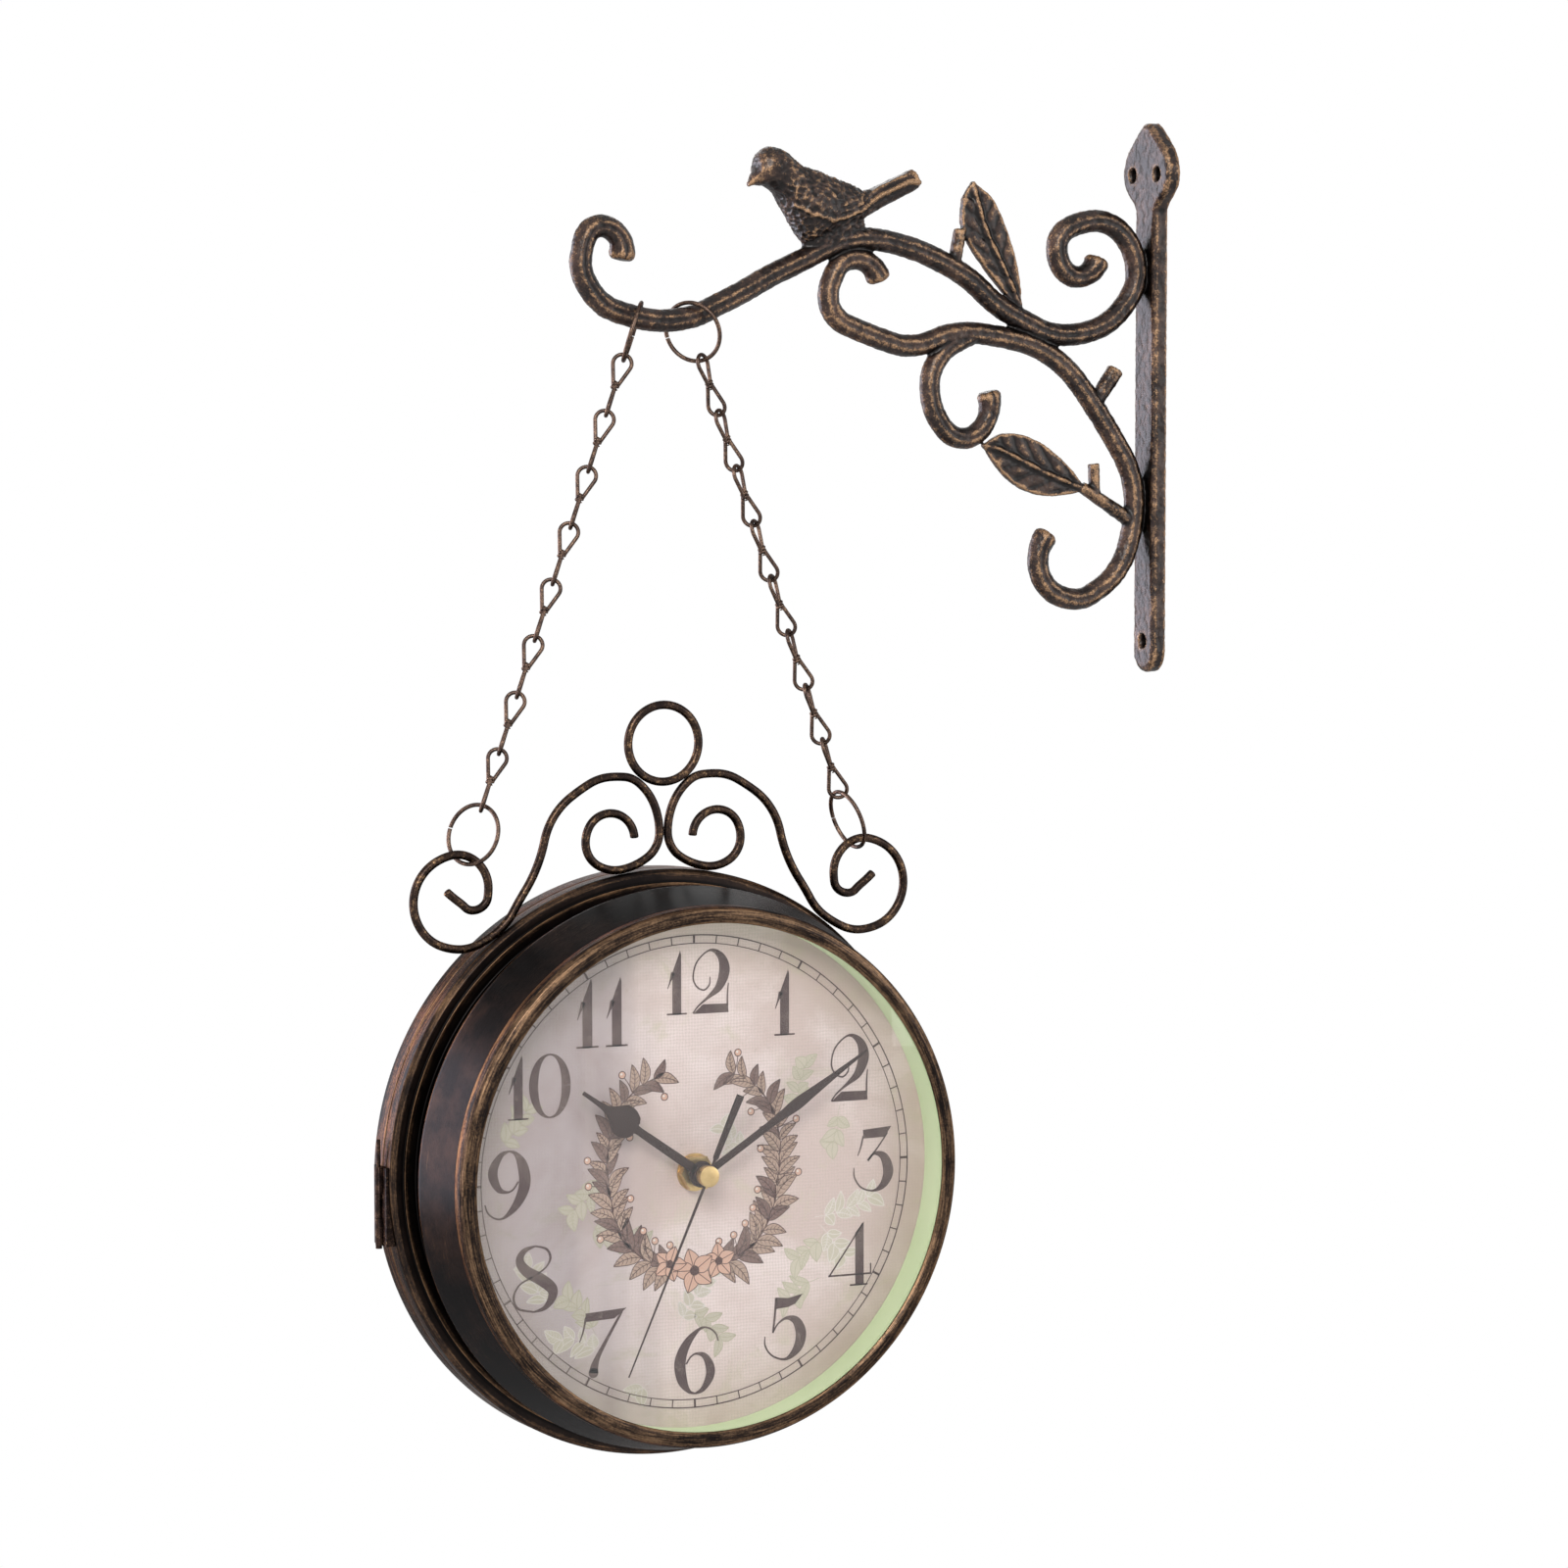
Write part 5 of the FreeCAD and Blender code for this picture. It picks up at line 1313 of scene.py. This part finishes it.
def hand(name, kind, side, dial_face, stations, length, turn, rise, studs, cap):
    outline = hand_outline(stations, length)
    near = dial_face + side * (rise - HAND_THICK)
    edges = ((0.0, 0.06), (0.12, 0.0), (HAND_THICK - 0.2, 0.0), (HAND_THICK - 0.06, 0.08), (HAND_THICK, 0.2))
    rows = []
    for lift, inset in edges:
        row = [turned(point, -turn) for point in shrunk(outline, inset)]
        rows.append([(-side * u, near + side * lift, v) for u, v in row])
    parts = [loft(rows)]
    for radius, low, high in studs:
        steps = [(low, radius - 0.12), (low + 0.12, radius), (high - 0.2, radius),
                 (high - 0.05, radius - 0.12), (high, radius - 0.35)]
        parts.append(stud(near, side, steps, 40))
    title = name + "_" + kind + "_plate"
    piece = make(title, *merged(parts), HANDS, HAND_SHARP, CLOCK)
    outward(piece)
    body = name + "_" + kind
    if cap:
        radius, low, high = cap
        steps = [(low, radius), (high - 0.5, radius), (high - 0.15, radius - 0.18), (high, radius - 0.55),
                 (high - 0.08, 0.6)]
        top = make(title + "_cap", *stud(near, side, steps, 48), BRASS, HAND_SHARP, CLOCK)
        outward(top)
        place(top, body, [])
    place(piece, body, [body + "_hand"])


# Bezel, glass, reveal, dial and hands of each face, in depths behind the bezel's front
DIAL_SINK = 19.4
DIAL_SEED = 7
FACES = (("front", -1, 46.0, 100.3, "clock"), ("rear", 1, 42.0, 98.3, "rear_half"))
for name, side, face, radius, body in FACES:
    opening = radius - 6.2
    seat = opening + 3.0
    rim = seat - SEAT_GAP
    inner = opening + 0.3
    edge = inner + 2.5
    rings = [
        ("bezel_ring", "bezel", BEZEL, "case_bronze", 288, [
            (opening, 1.0, 0.5), (opening + 1.4, 0.15, 0.8), (seat, 0.0, 1.2), (radius - 0.9, 0.9, 1.2),
            (radius, 3.0, 1.0), (radius, 7.4, 0.35), (radius - 1.0, 7.4, 0.2), (radius - 1.0, 3.2, 0.2),
            (seat, 3.2, 0.2), (seat, 1.7, 0.15), (opening, 1.7, 0.2)]),
        ("pane", "glass", GLASS, "glass", 160, [
            (0.02, 1.8, 0.0), (rim, 1.8, 0.2), (rim, 3.8, 0.2), (0.02, 3.8, 0.0)]),
        ("reveal", "reveal_ring", REVEAL, "reveal_green", 200, [
            (inner, 3.9, 0.3), (rim, 3.9, 0.2), (rim, 4.7, 0.2), (inner + 0.8, 4.7, 0.2),
            (inner + 0.8, 19.3, 0.2), (inner, 19.3, 0.2)]),
        ("dial_plate", "dial", PAPERS[side], "dial_paper", 160, [
            (4.2, DIAL_SINK, 0.1), (edge, DIAL_SINK, 0.2), (edge, 21.0, 0.2), (4.2, 21.0, 0.1)]),
    ]
    for piece, node, material, slot, segments, profile in rings:
        corners = [(r, side * (face - sink), corner) for r, sink, corner in profile]
        turned_piece(name + "_" + piece, corners, material, body, [name + "_" + node], segments)
    dial_face = side * (face - DIAL_SINK)
    print_on(name + "_dial_printing", dial_art(DIAL_SEED), side, dial_face, body)
    for kind, details in HAND_SET.items():
        hand(name, kind, side, dial_face, *details)

# CAD pieces that keep their shape
KEPT = {"movement": PLASTIC, "battery": CAN, "set_knob": KNOB, "dial_clips": STEEL, "dial_washer": BRASS,
        "dial_nut": BRASS, "hand_nut": BRASS}
finishes = {side + "_" + piece: material for side in ("front", "rear") for piece, material in KEPT.items()}
finishes.update({"hinge_leaf_front": HINGE, "hinge_leaf_rear": HINGE, "hinge_pin": HINGE})
finishes["case_catch"] = STEEL
SOFT_EDGE = 0.25
for node, material in finishes.items():
    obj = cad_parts[node]
    for slot in obj.material_slots:
        slot.material = material
    edge = obj.modifiers.new("soft_edges", "BEVEL")
    edge.width = SOFT_EDGE * MM
    edge.segments = 2
    edge.limit_method = "ANGLE"
    edge.angle_limit = math.radians(40)

# Stage, light and camera
FLOOR_Z = -900.0
FLOOR_HALF = 9000.0
WHITE = (1.0, 1.0, 1.0, 1.0)
AMBIENT = 0.45
floor_shade = Shade("studio_floor", Base_Color=(0.93, 0.93, 0.93, 1.0), Roughness=0.9)
glow = floor_shade.fill(floor_shade.node("ShaderNodeEmission"), Color=WHITE)
away = floor_shade.vector_math("DISTANCE", (CLOCK.x * MM, 0.0, FLOOR_Z * MM), "Value")
share = floor_shade.step(away, 0.3, 1.5, 0.8, 1.0)
floor_shade.mixed_with(floor_shade.math("MULTIPLY", floor_shade.white_rays(), share), glow.outputs[0])
floor_corners = [(a * FLOOR_HALF, b * FLOOR_HALF, FLOOR_Z) for a, b in ((-1, -1), (1, -1), (1, 1), (-1, 1))]
floor = make("studio_floor", floor_corners, [(0, 1, 2, 3)], floor_shade.mat)

world = bpy.data.worlds.new("studio")
bpy.context.scene.world = world
world.use_nodes = True
sky = Nodes(world.node_tree)
strength = sky.math("ADD", sky.math("MULTIPLY", sky.white_rays(), 1.0 - AMBIENT), AMBIENT)
sky.fill(sky.tree.nodes["Background"], Color=WHITE, Strength=strength)


def lamp(name, at, aim, size, size_y, power, colour=(1.0, 1.0, 1.0)):
    data = bpy.data.lights.new(name, "AREA")
    data.shape = "RECTANGLE"
    data.size, data.size_y = size, size_y
    data.energy = power
    data.color = colour
    obj = bpy.data.objects.new(name, data)
    bpy.context.scene.collection.objects.link(obj)
    obj.location = at
    obj.rotation_euler = (Vector(aim) - Vector(at)).to_track_quat("-Z", "Y").to_euler()


CENTRE = (-0.19, 0.0, -0.28)
lamp("key", (-1.1, -1.5, 0.75), CENTRE, 0.9, 0.9, 26.0, (1.0, 0.97, 0.93))
lamp("fill", (1.2, -1.2, 0.1), CENTRE, 1.2, 1.2, 10.0)
lamp("back", (0.3, 1.6, 0.6), CENTRE, 1.2, 1.2, 12.0)
lamp("rim", (-1.25, 1.05, -0.15), CENTRE, 1.3, 1.1, 34.0, (0.86, 0.86, 1.0))

AZIMUTH, ELEVATION, DISTANCE, FOCAL = math.radians(-25.62), math.radians(4.43), 2.0, 5445.0
IMAGE_WIDTH, SENSOR_WIDTH = 1600.0, 36.0
aim = Vector((-0.1645, -0.009, -0.2298))
flat = math.cos(ELEVATION)
back = Vector((math.sin(AZIMUTH) * flat, -math.cos(AZIMUTH) * flat, math.sin(ELEVATION)))
camera_data = bpy.data.cameras.new("camera")
camera_data.sensor_width = SENSOR_WIDTH
camera_data.lens = FOCAL / IMAGE_WIDTH * SENSOR_WIDTH
camera = bpy.data.objects.new("camera", camera_data)
bpy.context.scene.collection.objects.link(camera)
camera.location = aim + back * DISTANCE
camera.rotation_euler = (-back).to_track_quat("-Z", "Y").to_euler()
bpy.context.scene.camera = camera
bpy.context.scene.view_settings.view_transform = "Standard"
